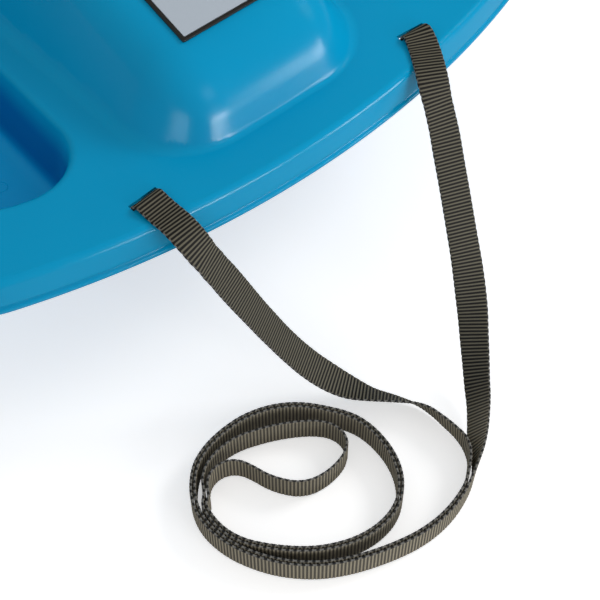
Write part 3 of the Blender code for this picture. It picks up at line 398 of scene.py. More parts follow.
class Finish:
    """A material under construction: its shader and the nodes that feed it."""

    def __init__(self, name, colour, roughness, metallic=0.0):
        self.material = bpy.data.materials.new(name)
        self.material.use_nodes = True
        self.tree = self.material.node_tree
        self.shader = self.tree.nodes["Principled BSDF"]
        self.shader.inputs["Base Color"].default_value = (*colour, 1.0)
        self.shader.inputs["Roughness"].default_value = roughness
        self.shader.inputs["Metallic"].default_value = metallic

    def node(self, kind, output, settings=None, **values):
        """A node of one kind with its settings and inputs, and its named output as a sum."""
        made = self.tree.nodes.new(kind)
        for key, value in (settings or {}).items():
            setattr(made, key, value)
        for key, value in values.items():
            place = made.inputs[key.replace("_", " ")]
            if isinstance(value, Sum):
                self.tree.links.new(value.socket, place)
            else:
                place.default_value = value
        return Sum(self.tree, made.outputs[output])

    def place(self):
        """The point on the piece, in metres, in the row's frame."""
        return self.node("ShaderNodeTexCoord", "Object")

    def axes(self, vector):
        """The three parts of a vector."""
        made = self.tree.nodes.new("ShaderNodeSeparateXYZ")
        self.tree.links.new(vector.socket, made.inputs[0])
        return [Sum(self.tree, made.outputs[axis]) for axis in "XYZ"]

    def noise(self, scale, detail=2.0, vector=None):
        """Soft random variation from 0 to 1, scale in cycles a metre."""
        return self.node("ShaderNodeTexNoise", "Fac", Vector=vector or self.place(), Scale=scale,
                         Detail=detail)

    def blend(self, share, first, second):
        """A colour between two, share of the second."""
        made = self.tree.nodes.new("ShaderNodeMix")
        made.data_type = "RGBA"
        for index, value in ((0, share), (6, first), (7, second)):
            place = made.inputs[index]
            if isinstance(value, Sum):
                self.tree.links.new(value.socket, place)
            elif isinstance(value, tuple):
                place.default_value = (*value, 1.0)
            else:
                place.default_value = value
        return Sum(self.tree, made.outputs[2])

    def feed(self, socket_name, value):
        """Links a value to one of the shader's sockets."""
        self.tree.links.new(value.socket, self.shader.inputs[socket_name])

    def relief(self, height, depth):
        """Bumps the surface by a height from 0 to 1, depth in metres."""
        made = self.tree.nodes.new("ShaderNodeBump")
        made.inputs["Strength"].default_value = 1.0
        made.inputs["Distance"].default_value = depth
        self.tree.links.new(height.socket, made.inputs["Height"])
        self.tree.links.new(made.outputs["Normal"], self.shader.inputs["Normal"])


def blue_hull_finish():
    """Glossy blue polyethylene: faint flow clouds and a fine grain in its gloss.

    Inside the tub the colour is painted light and shade: its steep walls a darker blue as painted shade,
    its level floors a brighter blue as painted light.
    A small ring is moulded into the floor of each foot well.
    """
    made = Finish("blue_hull_plastic", OPEN_BLUE[0], HULL_ROUGHNESS)
    made.shader.inputs["Specular IOR Level"].default_value = HULL_SPECULAR
    clouds = made.noise(6.0)
    open_blue = made.blend(clouds.step(0.3, 0.7), *OPEN_BLUE)
    beside, along, height = made.axes(made.place())
    beside = beside.maths("ABSOLUTE")
    inside = (WIDTH / 2 - FLANGE - beside).step(0.0, 0.006) * (along - TUB_START).step(0.0, 0.01)
    # Painted shade: below the rim, inside the tub, the colour turns to the painted blues by the walls'
    # tilt.
    deep = (RIM_HEIGHT - height).step(*TUB_SHADE_FADE) * inside
    tilt = made.axes(made.node("ShaderNodeTexCoord", "Normal"))[2]
    painted_tub_shade = made.blend(tilt.maths("ABSOLUTE").step(*TUB_SHADE_TILT), *TUB_PAINTED_SHADE_BLUE)
    made.feed("Base Color", made.blend(deep, open_blue, painted_tub_shade))
    made.feed("Roughness", made.noise(90.0) * 0.06 + (HULL_ROUGHNESS - 0.03))
    ring_x, ring_y, ring_radius, ring_line = WELL_RING
    square = (beside - ring_x).maths("POWER", 2.0) + (along - ring_y).maths("POWER", 2.0)
    ring = 1.0 - (square.maths("SQRT") - ring_radius).maths("ABSOLUTE").step(0.0, ring_line)
    made.relief(made.noise(900.0) * 0.08 + ring * inside, HULL_RELIEF)
    return made.material


def webbing_finish():
    """Ribbed khaki webbing: pale ribs, dark grooves, and a black and grey braid along both edges.

    The map's u counts ribs along the strap and its v runs across it from -1 to 1. The coil on the floor
    is painted paler as painted light, and the taut legs darker as painted shade.
    """
    made = Finish("khaki_webbing", SHADED_LEG_CLOTH[1], WEBBING_ROUGHNESS)
    along, across, _ = made.axes(made.node("ShaderNodeUVMap", "UV", {"uv_map": "weave"}))
    rib = along.maths("MULTIPLY", math.tau).maths("COSINE") * -0.5 + 0.5
    crown = rib.step(0.38, 0.86)
    yarn = (across * 34.0 + along.maths("FLOOR") * 0.5).maths("FRACT") - 0.5
    float_crown = 1.0 - yarn.maths("ABSOLUTE") * 2.0
    fuzz = made.noise(2600.0, 3.0)
    # Painted shade and highlight: the grooves take the dark colour as painted shade, and each yarn
    # float's crown is painted lighter as a highlight.
    tone = crown * (float_crown * 0.18 + fuzz * 0.30 + 0.62)
    # Painted light: from this rib count on, the coil on the floor takes the paler, lit colours.
    coil = along.step(*LIT_COIL_RIBS)
    groove, ridge = (made.blend(coil, leg, floor) for leg, floor in zip(SHADED_LEG_CLOTH, LIT_COIL_CLOTH))
    braid = ((along * 0.5).maths("FRACT") - 0.5).maths("ABSOLUTE").step(0.16, 0.30)
    edge = across.maths("ABSOLUTE").step(*BRAID_EDGE)
    made.feed("Base Color", made.blend(edge, made.blend(tone, groove, ridge), made.blend(braid, *BRAID)))
    made.relief(float_crown * 0.5 + fuzz * 0.5, 0.00008)
    return made.material


def loop_finish():
    """The webbing of the sewn end loops: its ribs are cut across their height, and its grooves are
    painted dark as shade.
    """
    made = Finish("khaki_webbing_loop", LOOP_CLOTH[1], WEBBING_ROUGHNESS)
    height = made.axes(made.place())[2]
    rib = (height * (math.tau / RIB_PITCH)).maths("COSINE") * -0.5 + 0.5
    crown = rib.step(0.08, 0.75)
    made.feed("Base Color", made.blend(crown * 0.85, *LOOP_CLOTH))
    made.relief(crown, RIB_GROOVE)
    return made.material


def card_finish():
    """The label's bare printed field under a clear film."""
    made = Finish("pale_label_card", (0.475, 0.54, 0.61), 0.35)
    grain = made.noise(400.0)
    made.feed("Base Color", made.blend(grain, (0.465, 0.53, 0.60), (0.485, 0.55, 0.62)))
    return made.material


def dark_frame_finish():
    """The label's raised black border."""
    made = Finish("black_label_frame", (0.026, 0.024, 0.020), 0.3)
    made.feed("Roughness", made.noise(700.0) * 0.15 + 0.25)
    return made.material


def galvanised_finish():
    """Galvanised strip steel with faint spangle and lengthwise scuffs."""
    made = Finish("galvanised_steel", (0.55, 0.56, 0.57), 0.38, metallic=1.0)
    spangle = made.node("ShaderNodeTexVoronoi", "Distance", Vector=made.place(), Scale=240.0)
    made.feed("Base Color", made.blend(spangle.step(0.1, 0.9), (0.50, 0.51, 0.53), (0.62, 0.63, 0.64)))
    stretch = made.node("ShaderNodeMapping", "Vector", Vector=made.place(), Scale=(1.0, 0.04, 1.0))
    scuffs = made.noise(1500.0, 3.0, stretch)
    made.feed("Roughness", scuffs * 0.25 + 0.26)
    made.relief(scuffs, 0.00003)
    return made.material


def zinc_finish():
    """Bright zinc plating on the fasteners."""
    made = Finish("bright_zinc", (0.62, 0.62, 0.60), 0.3, metallic=1.0)
    made.feed("Roughness", made.noise(900.0, 3.0) * 0.18 + 0.2)
    made.feed("Base Color", made.blend(made.noise(160.0), (0.58, 0.58, 0.55), (0.68, 0.68, 0.66)))
    return made.material


def lever_finish():
    """Black moulded nylon with a fine spark grain."""
    made = Finish("black_lever_plastic", (0.014, 0.014, 0.016), 0.45)
    grain = made.noise(1800.0, 3.0)
    made.feed("Roughness", grain * 0.2 + 0.36)
    made.relief(grain, 0.00006)
    return made.material


def rubber_finish():
    """Matte black grip rubber."""
    made = Finish("black_grip_rubber", (0.018, 0.018, 0.018), 0.75)
    grain = made.noise(1300.0, 4.0)
    made.feed("Base Color", made.blend(grain, (0.013, 0.013, 0.013), (0.028, 0.028, 0.027)))
    made.relief(grain, 0.00010)
    return made.material


# Strap route: x, y, z of the centreline and the lean of the webbing about it in degrees.
RIGHT_LEG = (
    (-0.1038, -0.4911, 0.1487, 0), (-0.1038, -0.4911, 0.1525, 0), (-0.1037, -0.4921, 0.1562, 0),
    (-0.1034, -0.4956, 0.1582, 0), (-0.1029, -0.5005, 0.1573, 0), (-0.1022, -0.5070, 0.1563, 0),
    (-0.1015, -0.5150, 0.1562, 0), (-0.1011, -0.5225, 0.1554, 2), (-0.1003, -0.5298, 0.1522, 5),
    (-0.0984, -0.5360, 0.1455, 12), (-0.0952, -0.5403, 0.1360, 24), (-0.0910, -0.5443, 0.1245, 29),
    (-0.0829, -0.5520, 0.1020, 29), (-0.0735, -0.5600, 0.0770, 25), (-0.0630, -0.5693, 0.0515, 20),
    (-0.0561, -0.5760, 0.0372, 18), (-0.0488, -0.5842, 0.0255, 12), (-0.0406, -0.5955, 0.0170, -4),
    (-0.0298, -0.6102, 0.0122, -34), (-0.0192, -0.6235, 0.0112, -50), (-0.0124, -0.6335, 0.0108, -62),
    (-0.0092, -0.6425, 0.0107, -72), (-0.0080, -0.6530, 0.0106, -78), (-0.0075, -0.6645, 0.0105, -82),
    (-0.0089, -0.6743, 0.0105, -88), (-0.0130, -0.6820, 0.0105, -89), (-0.0196, -0.6880, 0.0105, -90),
)
LEFT_LEG = (
    (0.1038, -0.4911, 0.1487, 0), (0.1038, -0.4911, 0.1525, 0), (0.1038, -0.4921, 0.1564, 0),
    (0.1035, -0.4956, 0.1586, 0), (0.1021, -0.5003, 0.1577, 0), (0.0990, -0.5070, 0.1565, 0),
    (0.0945, -0.5148, 0.1562, 0), (0.0896, -0.5230, 0.1552, 0), (0.0858, -0.5300, 0.1520, 0),
    (0.0836, -0.5354, 0.1466, -1), (0.0822, -0.5404, 0.1398, -2), (0.0796, -0.5489, 0.1284, -2),
    (0.0761, -0.5577, 0.1165, -2), (0.0707, -0.5714, 0.0984, -2), (0.0647, -0.5854, 0.0806, -1),
    (0.0582, -0.5998, 0.0631, 4), (0.0531, -0.6094, 0.0519, 12), (0.0474, -0.6190, 0.0411, 22),
    (0.0408, -0.6285, 0.0310, 31), (0.0338, -0.6383, 0.0222, 37), (0.0258, -0.6485, 0.0158, 43),
    (0.0178, -0.6585, 0.0124, 48), (0.0092, -0.6672, 0.0113, 52), (0.0003, -0.6755, 0.0109, 57),
    (-0.0075, -0.6836, 0.0107, 73), (-0.0160, -0.6902, 0.0106, 85), (-0.0242, -0.6951, 0.0105, 90),
)
# The doubled stretch on the floor, midway between its two strands.
PAIR = (
    (-0.0310, -0.6970), (-0.0440, -0.7012), (-0.0600, -0.7032), (-0.0750, -0.7022), (-0.0885, -0.6992),
    (-0.1020, -0.6948), (-0.1170, -0.6884), (-0.1315, -0.6797), (-0.1420, -0.6707), (-0.1520, -0.6590),
    (-0.1588, -0.6478), (-0.1636, -0.6370), (-0.1665, -0.6255), (-0.1672, -0.6150), (-0.1655, -0.6050),
    (-0.1617, -0.5963), (-0.1555, -0.5880), (-0.1472, -0.5808), (-0.1370, -0.5763), (-0.1265, -0.5741),
    (-0.1165, -0.5735), (-0.1065, -0.5740), (-0.0975, -0.5760), (-0.0890, -0.5791), (-0.0805, -0.5838),
    (-0.0730, -0.5896), (-0.0665, -0.5965), (-0.0608, -0.6040), (-0.0555, -0.6120), (-0.0517, -0.6200),
    (-0.0497, -0.6295), (-0.0495, -0.6400), (-0.0513, -0.6515), (-0.0552, -0.6620), (-0.0615, -0.6712),
    (-0.0690, -0.6776), (-0.0775, -0.6815), (-0.0880, -0.6832), (-0.0990, -0.6826), (-0.1090, -0.6801),
    (-0.1180, -0.6763), (-0.1270, -0.6712), (-0.1355, -0.6646), (-0.1431, -0.6573), (-0.1505, -0.6488),
    (-0.1566, -0.6401), (-0.1606, -0.6310), (-0.1624, -0.6222), (-0.1623, -0.6138), (-0.1603, -0.6056),
)
# The eye in the middle of the coil, where the two strands part and meet again at the fold.
LEFT_EYE = (
    (-0.1553, -0.5985), (-0.1505, -0.5910), (-0.1448, -0.5863), (-0.1375, -0.5832), (-0.1295, -0.5817),
    (-0.1215, -0.5817), (-0.1135, -0.5832), (-0.1045, -0.5864), (-0.0955, -0.5903), (-0.0869, -0.5949),
    (-0.0789, -0.6001), (-0.0716, -0.6062), (-0.0668, -0.6125), (-0.0649, -0.6189), (-0.0654, -0.6248),
    (-0.0680, -0.6296),
)
RIGHT_EYE = (
    (-0.1549, -0.6024), (-0.1513, -0.5968), (-0.1467, -0.5924), (-0.1412, -0.5903), (-0.1350, -0.5905),
    (-0.1296, -0.5929), (-0.1254, -0.5973), (-0.1222, -0.6045), (-0.1190, -0.6140), (-0.1143, -0.6227),
    (-0.1080, -0.6301), (-0.1010, -0.6343), (-0.0935, -0.6360), (-0.0860, -0.6362), (-0.0790, -0.6352),
    (-0.0736, -0.6334), (-0.0698, -0.6310),
)
STANDING_HEIGHT = 0.0105
STANDING_LEAN = 90.0


def smooth_step(t):
    """0 below 0, 1 above 1, and the cubic with level ends between."""
    t = np.clip(t, 0.0, 1.0)
    return t * t * (3 - 2 * t)


def rounded_max(a, b, radius):
    """Signed distance of the crossing of two half spaces with its corner rounded."""
    corner = np.hypot(np.maximum(a + radius, 0), np.maximum(b + radius, 0))
    return np.minimum(np.maximum(a, b), -radius) + corner


def outline_distance(x, y, bow_corner=BOW_CORNER):
    """Signed distance from the lip's outer edge in plan, negative inside the hull."""
    bow = np.hypot(x, y - (BOW + BOW_RADIUS)) - BOW_RADIUS
    stern = np.hypot(x, y - (STERN - STERN_RADIUS)) - STERN_RADIUS
    side = np.abs(x) - WIDTH / 2
    front = rounded_max(side, bow, bow_corner)
    back = rounded_max(side, stern, STERN_CORNER)
    return np.where(y < 0, front, back)


def rim_end(x, inset, end_radius, corner, end):
    """How far from the middle the contour at this inset runs along one column, at one end."""
    side = np.abs(x) - WIDTH / 2 + corner
    reach = np.where(
        side > 0,
        -corner + np.sqrt(np.maximum((corner - inset) ** 2 - np.maximum(side, 0) ** 2, 0)),
        -inset,
    )
    return end - end_radius + np.sqrt((end_radius + reach) ** 2 - x**2)


def rim_z(y):
    """Height of the rim's flat top."""
    return RIM_HEIGHT + TAIL_RISE * smooth_step((y - BOW - TAIL_RISE_START) / TAIL_RISE_LENGTH)


def keel_z(y):
    """Height of the keel channel's floor, level behind and rising towards the bow."""
    ahead = BOW + KEEL_RISE_START + KEEL_RISE_LENGTH - y
    rise = FRONT_FLOOR + KEEL_FRONT_LIFT - KEEL_HEIGHT
    return KEEL_HEIGHT + rise * smooth_step(ahead / KEEL_RISE_LENGTH)


def keel_channel(x, y):
    """The keel channel's surface: a strip whose sides and ends curl up ever more steeply."""
    beside = np.maximum(np.abs(np.abs(x) - RAIL_X) - KEEL_HALF_WIDTH, 0) / KEEL_SIDE_RUN
    behind = np.maximum(y - BOW - KEEL_END, 0) / KEEL_END_RUN
    before = np.maximum(BOW + KEEL_RISE_START - y, 0) / KEEL_END_RUN
    climb = sum((1 - KEEL_CURL) * run + KEEL_CURL * run**2 for run in (beside, behind, before))
    return keel_z(y) + (SEAT_FLOOR - KEEL_HEIGHT) * climb


def floor_z(y):
    """Height of the tub's floor: high in front and low under the seat."""
    ahead = BOW + RAMP_START + RAMP_LENGTH - y
    return SEAT_FLOOR + (FRONT_FLOOR - SEAT_FLOOR) * smooth_step(ahead / RAMP_LENGTH)


def stern_share(x, y):
    """How far the nearest wall is the backrest and not a side wall, from 0 to 1."""
    side = np.maximum(np.abs(x) - WIDTH / 2 + BACKREST_REACH, 0) ** 2
    stern = np.maximum(y - STERN + BACKREST_REACH, 0) ** 2
    return stern / (side + stern + 1e-9)


def wall_drop(distance, depth, slope, top_radius, foot_radius):
    """Drop of a slanted wall with a round over its edge and a fillet at its foot.

    distance runs outwards from the sharp edge and slope is the wall's run for each unit of drop.
    """
    lean = np.arctan(slope)
    tangent = np.tan((math.pi / 2 - lean) / 2)
    top_arc = top_radius * np.cos(lean)
    foot_arc = foot_radius * np.cos(lean)
    foot_end = depth * slope + foot_radius * tangent
    on_top = np.clip(distance + top_radius * tangent, 0, top_arc)
    on_foot = np.clip(foot_end - distance, 0, foot_arc)
    drop = distance / slope
    drop = np.where(
        distance < top_arc - top_radius * tangent, top_radius - np.sqrt(top_radius**2 - on_top**2), drop
    )
    foot = depth - foot_radius + np.sqrt(foot_radius**2 - on_foot**2)
    return np.where(distance > foot_end - foot_arc, foot, drop)


def console_rise(x, y):
    """Height of the console above the rim's level."""
    back = y - CONSOLE_FRONT
    behind = np.logaddexp(0, (back - CONSOLE_FLARE_START) / PEAK_SOFTNESS) * PEAK_SOFTNESS
    half = CONSOLE_HALF_WIDTH + CONSOLE_FLARE * behind
    climb = CONSOLE_NOSE_HEIGHT + math.tan(CONSOLE_PITCH) * back
    peak = CONSOLE_NOSE_HEIGHT + math.tan(CONSOLE_PITCH) * CONSOLE_PEAK
    fall = peak - CONSOLE_FALL * (back - CONSOLE_PEAK)
    height = -PEAK_SOFTNESS * np.logaddexp(-climb / PEAK_SOFTNESS, -fall / PEAK_SOFTNESS)
    height = np.maximum(height, CONSOLE_NOSE_HEIGHT / 2)
    side = np.abs(x) - half
    ends = np.maximum(-back, back - CONSOLE_LENGTH)
    edge = rounded_max(side, ends, CONSOLE_CORNER)
    side_part = np.maximum(side + CONSOLE_CORNER, 0) ** 2
    end_part = np.maximum(ends + CONSOLE_CORNER, 0) ** 2
    share = end_part / (side_part + end_part + 1e-9)
    side_slope = (half - CONSOLE_CREST) / height
    slope = side_slope + (math.tan(CONSOLE_FRONT_LEAN) - side_slope) * share
    top_radius = CONSOLE_SIDE_RADIUS + (CONSOLE_FRONT_RADIUS - CONSOLE_SIDE_RADIUS) * share
    foot_gain = CONSOLE_FRONT_FOOT_RADIUS - CONSOLE_SIDE_FOOT_RADIUS
    foot_radius = CONSOLE_SIDE_FOOT_RADIUS + foot_gain * share
    drop = wall_drop(height * slope + edge, height, slope, top_radius, foot_radius)
    return height - drop


def hull_z(x, y):
    """Height of the hull's upper face inside the rolled rim."""
    island = rounded_max(np.abs(x) - WELL_INNER, y - BOW - ISLAND_LENGTH, ISLAND_CORNER)
    recess = rounded_max(outline_distance(x, y, WELL_SWEEP) + FLANGE, -island, WELL_CORNER)
    back = stern_share(x, y)
    slope = math.tan(DRAFT) + (math.tan(BACKREST_LEAN) - math.tan(DRAFT)) * back
    foot = WELL_FOOT_RADIUS + (BACKREST_FOOT_RADIUS - WELL_FOOT_RADIUS) * back
    depth = rim_z(y) - floor_z(y)
    drop = wall_drop(-recess, depth, slope, WELL_EDGE_RADIUS, foot)
    tub = rim_z(y) - drop + console_rise(x, y)
    channel = keel_channel(x, y)
    return -KEEL_SOFTNESS * np.logaddexp(-tub / KEEL_SOFTNESS, -channel / KEEL_SOFTNESS)


def standing(points, lean, offset):
    """Route points of webbing that stands on its edge, moved sideways to one strand's place."""
    plan = np.array(points, float)
    along = np.gradient(plan, axis=0)
    along /= np.linalg.norm(along, axis=1)[:, None]
    outward = np.stack([-along[:, 1], along[:, 0]], axis=1)
    plan = plan + outward * offset
    level = np.full((len(plan), 1), STANDING_HEIGHT)
    turn = np.full((len(plan), 1), lean)
    return np.hstack([plan, level, turn])


def width_directions(route):
    """The unit vector across the webbing at each point, from the route's direction and lean."""
    along = np.gradient(route[:, :3], axis=0)
    along /= np.linalg.norm(along, axis=1)[:, None]
    level = np.cross((0.0, 0.0, 1.0), along)
    size = np.linalg.norm(level, axis=1)
    level[size < UPRIGHT] = (1.0, 0.0, 0.0)
    level -= along * np.sum(level * along, axis=1)[:, None]
    level /= np.linalg.norm(level, axis=1)[:, None]
    raised = np.cross(along, level)
    turn = np.radians(route[:, 3])[:, None]
    return np.cos(turn) * level + np.sin(turn) * raised


def strap_route(side):
    """The whole route of one half of the strap, from its slot to the fold where the halves meet."""
    leg = np.array(RIGHT_LEG if side == "right" else LEFT_LEG, float)
    lean = -STANDING_LEAN if side == "right" else STANDING_LEAN
    offset = -STRAND_OFFSET if side == "right" else STRAND_OFFSET
    pair = standing(PAIR, lean, offset)
    eye = RIGHT_EYE if side == "right" else LEFT_EYE + RIGHT_EYE[-1:]
    return np.vstack([leg, pair, standing(eye, lean, 0.0)])


def spline_through(points):
    """Evenly spaced samples of a smooth curve through the points, a few for each rib of the weave."""
    chord = np.linalg.norm(np.diff(points[:, :3], axis=0), axis=1)
    knots = np.concatenate([[0], np.cumsum(chord)])
    slopes = np.gradient(points, knots, axis=0)
    fine = np.linspace(0, knots[-1], SPLINE_STEPS * len(points))
    index = np.clip(np.searchsorted(knots, fine, side="right") - 1, 0, len(points) - 2)
    width = (knots[index + 1] - knots[index])[:, None]
    t = ((fine - knots[index]) / width[:, 0])[:, None]
    start, end = points[index], points[index + 1]
    rise, fall = slopes[index] * width, slopes[index + 1] * width
    curve = (2 * t**3 - 3 * t**2 + 1) * start + (t**3 - 2 * t**2 + t) * rise
    curve += (3 * t**2 - 2 * t**3) * end + (t**3 - t**2) * fall
    run = np.concatenate([[0], np.cumsum(np.linalg.norm(np.diff(curve[:, :3], axis=0), axis=1))])
    stations = np.arange(0, run[-1], STRAP_STEP)
    samples = [np.interp(stations, run, curve[:, k]) for k in range(curve.shape[1])]
    return np.stack(samples, axis=1), stations


def webbing_section():
    """Places around the webbing's section, across and out from -1 to 1, with round edges."""
    corner = STRAP_THICKNESS / STRAP_WIDTH
    flat = np.linspace(-1, 1, WEBBING_FACE_STEPS) * (1 - corner)
    turn = np.linspace(math.pi / 2, -math.pi / 2, WEBBING_EDGE_STEPS + 2)[1:-1]
    edge = 1 - corner + np.cos(turn) * corner
    across = np.concatenate([flat, edge, -flat, -edge])
    out = np.concatenate([np.ones(len(flat)), np.sin(turn), -np.ones(len(flat)), -np.sin(turn)])
    return across, out


def add_webbing(finish):
    """Both halves of the pull strap as ribbed webbing.

    At arc length s the section's points lie at route(s) + a w + b n, where w points across and n out of
    the face. The ribs make b = half the thickness less a groove that follows (1 - |sin(pi s / pitch)|).
    """
    across, out = webbing_section()
    for side, _ in SIDES:
        route, stations = spline_through(strap_route(side))
        centre = route[:, :3]
        tangent = unit(np.gradient(centre, axis=0))
        wide = width_directions(route)
        face = np.cross(tangent, wide)
        ribs = stations / RIB_PITCH
        groove = RIB_GROOVE * (1 - np.abs(np.sin(math.pi * ribs))) ** 2
        thick = STRAP_THICKNESS / 2 - groove
        pairs = EDGE_ARCH * (1 - np.abs(np.sin(math.pi * ribs / 2))) ** 2
        half = STRAP_WIDTH / 2 - pairs
        points = (
            centre[:, None]
            + wide[:, None] * (across[None, :] * half[:, None])[..., None]
            + face[:, None] * (out[None, :] * thick[:, None])[..., None]
        )
        rows, columns = points.shape[:2]
        uv = np.stack(np.broadcast_arrays(ribs[:, None], across[None, :]), axis=-1).reshape(-1, 2)
        faces = tube_faces(rows, columns)
        strap = new_piece("webbing_" + side, points.reshape(-1, 3), faces, finish, uv)
        dress(strap, "hull", "khaki_webbing", "pull_strap_" + side)


def graded(*stretches):
    """Rising positions: from the first stretch's end on, each stretch is divided near its own spacing.

    A stretch is (end, spacing). The count of cells is even, so that every second line makes a
    coarser grid.
    """
    places = [stretches[0][0]]
    for end, spacing in stretches[1:]:
        cells = 2 * max(1, round((end - places[-1]) / spacing / 2))
        places += list(np.linspace(places[-1], end, cells + 1)[1:])
    return np.array(places)


def hull_columns():
    """Columns of the hull's grid, closest where the walls are steep and in the rim's corners."""
    half = graded(
        (0.0, 0), (0.035, 0.0045), (0.070, 0.0021), (0.096, 0.0016), (0.104, 0.0025),
        (0.117, 0.0015), (0.135, 0.0026), (0.178, 0.0021), (0.205, 0.0026), (0.217, 0.0015),
    )
    turn = np.radians(np.array([68, 62, 56, 50, 44, 38, 32, 27, 22, 18, 14, 10.5, 7, 4.5, 2, 0]))
    corner = WIDTH / 2 - BOW_CORNER + (BOW_CORNER - RIM_ROLL) * np.cos(turn)
    half = np.concatenate([half, corner[corner > half[-1] + 0.001]])
    if len(half) % 2 == 0:
        half = np.delete(half, 1)
    return np.concatenate([-half[:0:-1], half])


def hull_rows():
    """Stations of the hull's grid from the bow, closest in the nose that the picture shows."""
    return graded(
        (RIM_ROLL, 0), (0.029, 0.0022), (0.044, 0.0010), (0.078, 0.0017), (0.165, 0.0026),
        (0.37, 0.0038), (0.44, 0.0026), (0.50, 0.005), (0.80, 0.008), (0.90, 0.0045), (1.0, 0.003),
        (LENGTH - RIM_ROLL, 0.0025),
    )


def hull_plan():
    """The hull grid's places in plan, its rows bent to follow the bow and the stern."""
    columns, rows = hull_columns(), hull_rows()
    x, station = np.meshgrid(columns, BOW + rows)
    front = -rim_end(x, RIM_ROLL, BOW_RADIUS, BOW_CORNER, -BOW)
    back = rim_end(x, RIM_ROLL, STERN_RADIUS, STERN_CORNER, STERN)
    first, last = BOW + rows[0], BOW + rows[-1]
    fore = 1 - smooth_step((station - first) / ROW_BEND_REACH)
    aft = 1 - smooth_step((last - station) / ROW_BEND_REACH)
    return x, station + fore * (front - first) + aft * (back - last)


def slit_reach(lean):
    """How far from the pivot the brake slit runs for a handle that leans this far from upright."""
    reach = (RIM_HEIGHT - PIVOT_HEIGHT) * math.tan(lean) + HANDLE_HALF_WIDTH / math.cos(lean)
    return reach + SLIT_CLEARANCE


def hull_holes():
    """Each hole in the rim's flange: centre, half size and turn in plan."""
    ahead, behind = slit_reach(HANDLE_REST), slit_reach(BRAKE_SWING - HANDLE_REST)
    for _, sign in SIDES:
        slot_half = (STRAP_SLOT_LENGTH / 2, STRAP_SLOT_WIDTH / 2)
        yield (sign * STRAP_SLOT_X, SLOT_Y - STRAP_SLOT_WIDTH / 2), slot_half, -sign * STRAP_SLOT_TOE
        slit_half = (LEVER_THICKNESS / 2 + SIDE_CLEARANCE, (ahead + behind) / 2)
        yield (sign * LEVER_X, PIVOT_Y + (behind - ahead) / 2), slit_half, 0.0


def even(index):
    """The nearest even number."""
    return int(round(index / 2)) * 2


def fit_hole(x, y, centre, half, turn):
    """Pulls a block of the grid's lines onto a hole's rectangle, and returns the block's ends."""
    row, column = np.unravel_index(np.argmin((x - centre[0]) ** 2 + (y - centre[1]) ** 2), x.shape)
    columns = [even(np.argmin(np.abs(x[row] - centre[0] - s * half[0]))) for s in (-1, 1)]
    rows = [even(np.argmin(np.abs(y[:, column] - centre[1] - s * half[1]))) for s in (-1, 1)]
    rows[1] = max(rows[1], rows[0] + 2)
    reach = HOLE_PULL
    r = np.arange(rows[0] - reach, rows[1] + reach + 1)
    c = np.arange(columns[0] - reach, columns[1] + reach + 1)
    r, c = r[(r >= 0) & (r < x.shape[0])], c[(c >= 0) & (c < x.shape[1])]
    r, c = np.meshgrid(r, c, indexing="ij")
    inner_r, inner_c = np.clip(r, *rows), np.clip(c, *columns)
    u = (inner_c - columns[0]) / (columns[1] - columns[0]) * 2 - 1
    v = (inner_r - rows[0]) / (rows[1] - rows[0]) * 2 - 1
    goal_x = centre[0] + math.cos(turn) * u * half[0] - math.sin(turn) * v * half[1]
    goal_y = centre[1] + math.sin(turn) * u * half[0] + math.cos(turn) * v * half[1]
    away = np.maximum(np.abs(r - inner_r), np.abs(c - inner_c)) / (reach + 1)
    weight = 1 - smooth_step(away)
    shift_x, shift_y = goal_x - x[inner_r, inner_c], goal_y - y[inner_r, inner_c]
    x[r, c] += weight * shift_x
    y[r, c] += weight * shift_y
    return rows, columns


def hull_slopes(x, y):
    """The hull surface's unit normals, from its height's central differences."""
    step = NORMAL_STEP
    rise_x = (hull_z(x + step, y) - hull_z(x - step, y)) / (2 * step)
    rise_y = (hull_z(x, y + step) - hull_z(x, y - step)) / (2 * step)
    return unit(np.stack([-rise_x, -rise_y, np.ones_like(rise_x)], axis=-1))


def border(rows, columns):
    """Indices around a grid's edge, once round."""
    first = [(0, c) for c in range(columns)]
    right = [(r, columns - 1) for r in range(1, rows)]
    last = [(rows - 1, c) for c in range(columns - 2, -1, -1)]
    left = [(r, 0) for r in range(rows - 2, 0, -1)]
    return np.array(first + right + last + left)


def rim_ring(edge, profile):
    """Rings of points around the edge that follow a section of (distance from the lip, drop)."""
    step = NORMAL_STEP
    x, y = edge[:, 0], edge[:, 1]
    out_x = outline_distance(x + step, y) - outline_distance(x - step, y)
    out_y = outline_distance(x, y + step) - outline_distance(x, y - step)
    out = unit(np.stack([out_x, out_y, np.zeros_like(out_x)], axis=-1))
    rings = [edge + out * (distance + RIM_ROLL) + np.array([0, 0, drop]) for distance, drop in profile]
    return np.stack(rings)


def ring_normals(rings):
    """Normals of rings of points, from the differences along and across them."""
    along_ring = np.roll(rings, -1, axis=1) - np.roll(rings, 1, axis=1)
    down = np.gradient(rings, axis=0)
    return unit(np.cross(down, along_ring))


def rim_section():
    """The rim's outer section: the roll, the slanted band, the groove and the lip's round foot."""
    turn = np.linspace(math.pi / 2, BAND_LEAN, ROLL_STEPS)
    roll = [(-RIM_ROLL + ROLL_RADIUS * math.cos(a), ROLL_RADIUS * (math.sin(a) - 1)) for a in turn]
    band = [(-0.0028, -0.0078), (-0.0020, -0.0117), (-0.0014, -0.0148), (-0.0012, -0.0158)]
    groove = [(-0.0014, -0.0165), (-0.0019, -0.0171), (-0.0019, -0.0178), (-0.0012, -0.0184)]
    lip = [(-0.0003, -0.0188), (0.0, -0.0195), (0.0, -0.0211), (-0.0004, -0.0218), (-0.0014, -LIP_DROP)]
    return roll + band + groove + lip + [(-0.0034, -LIP_DROP), (-0.0040, -0.0214)]


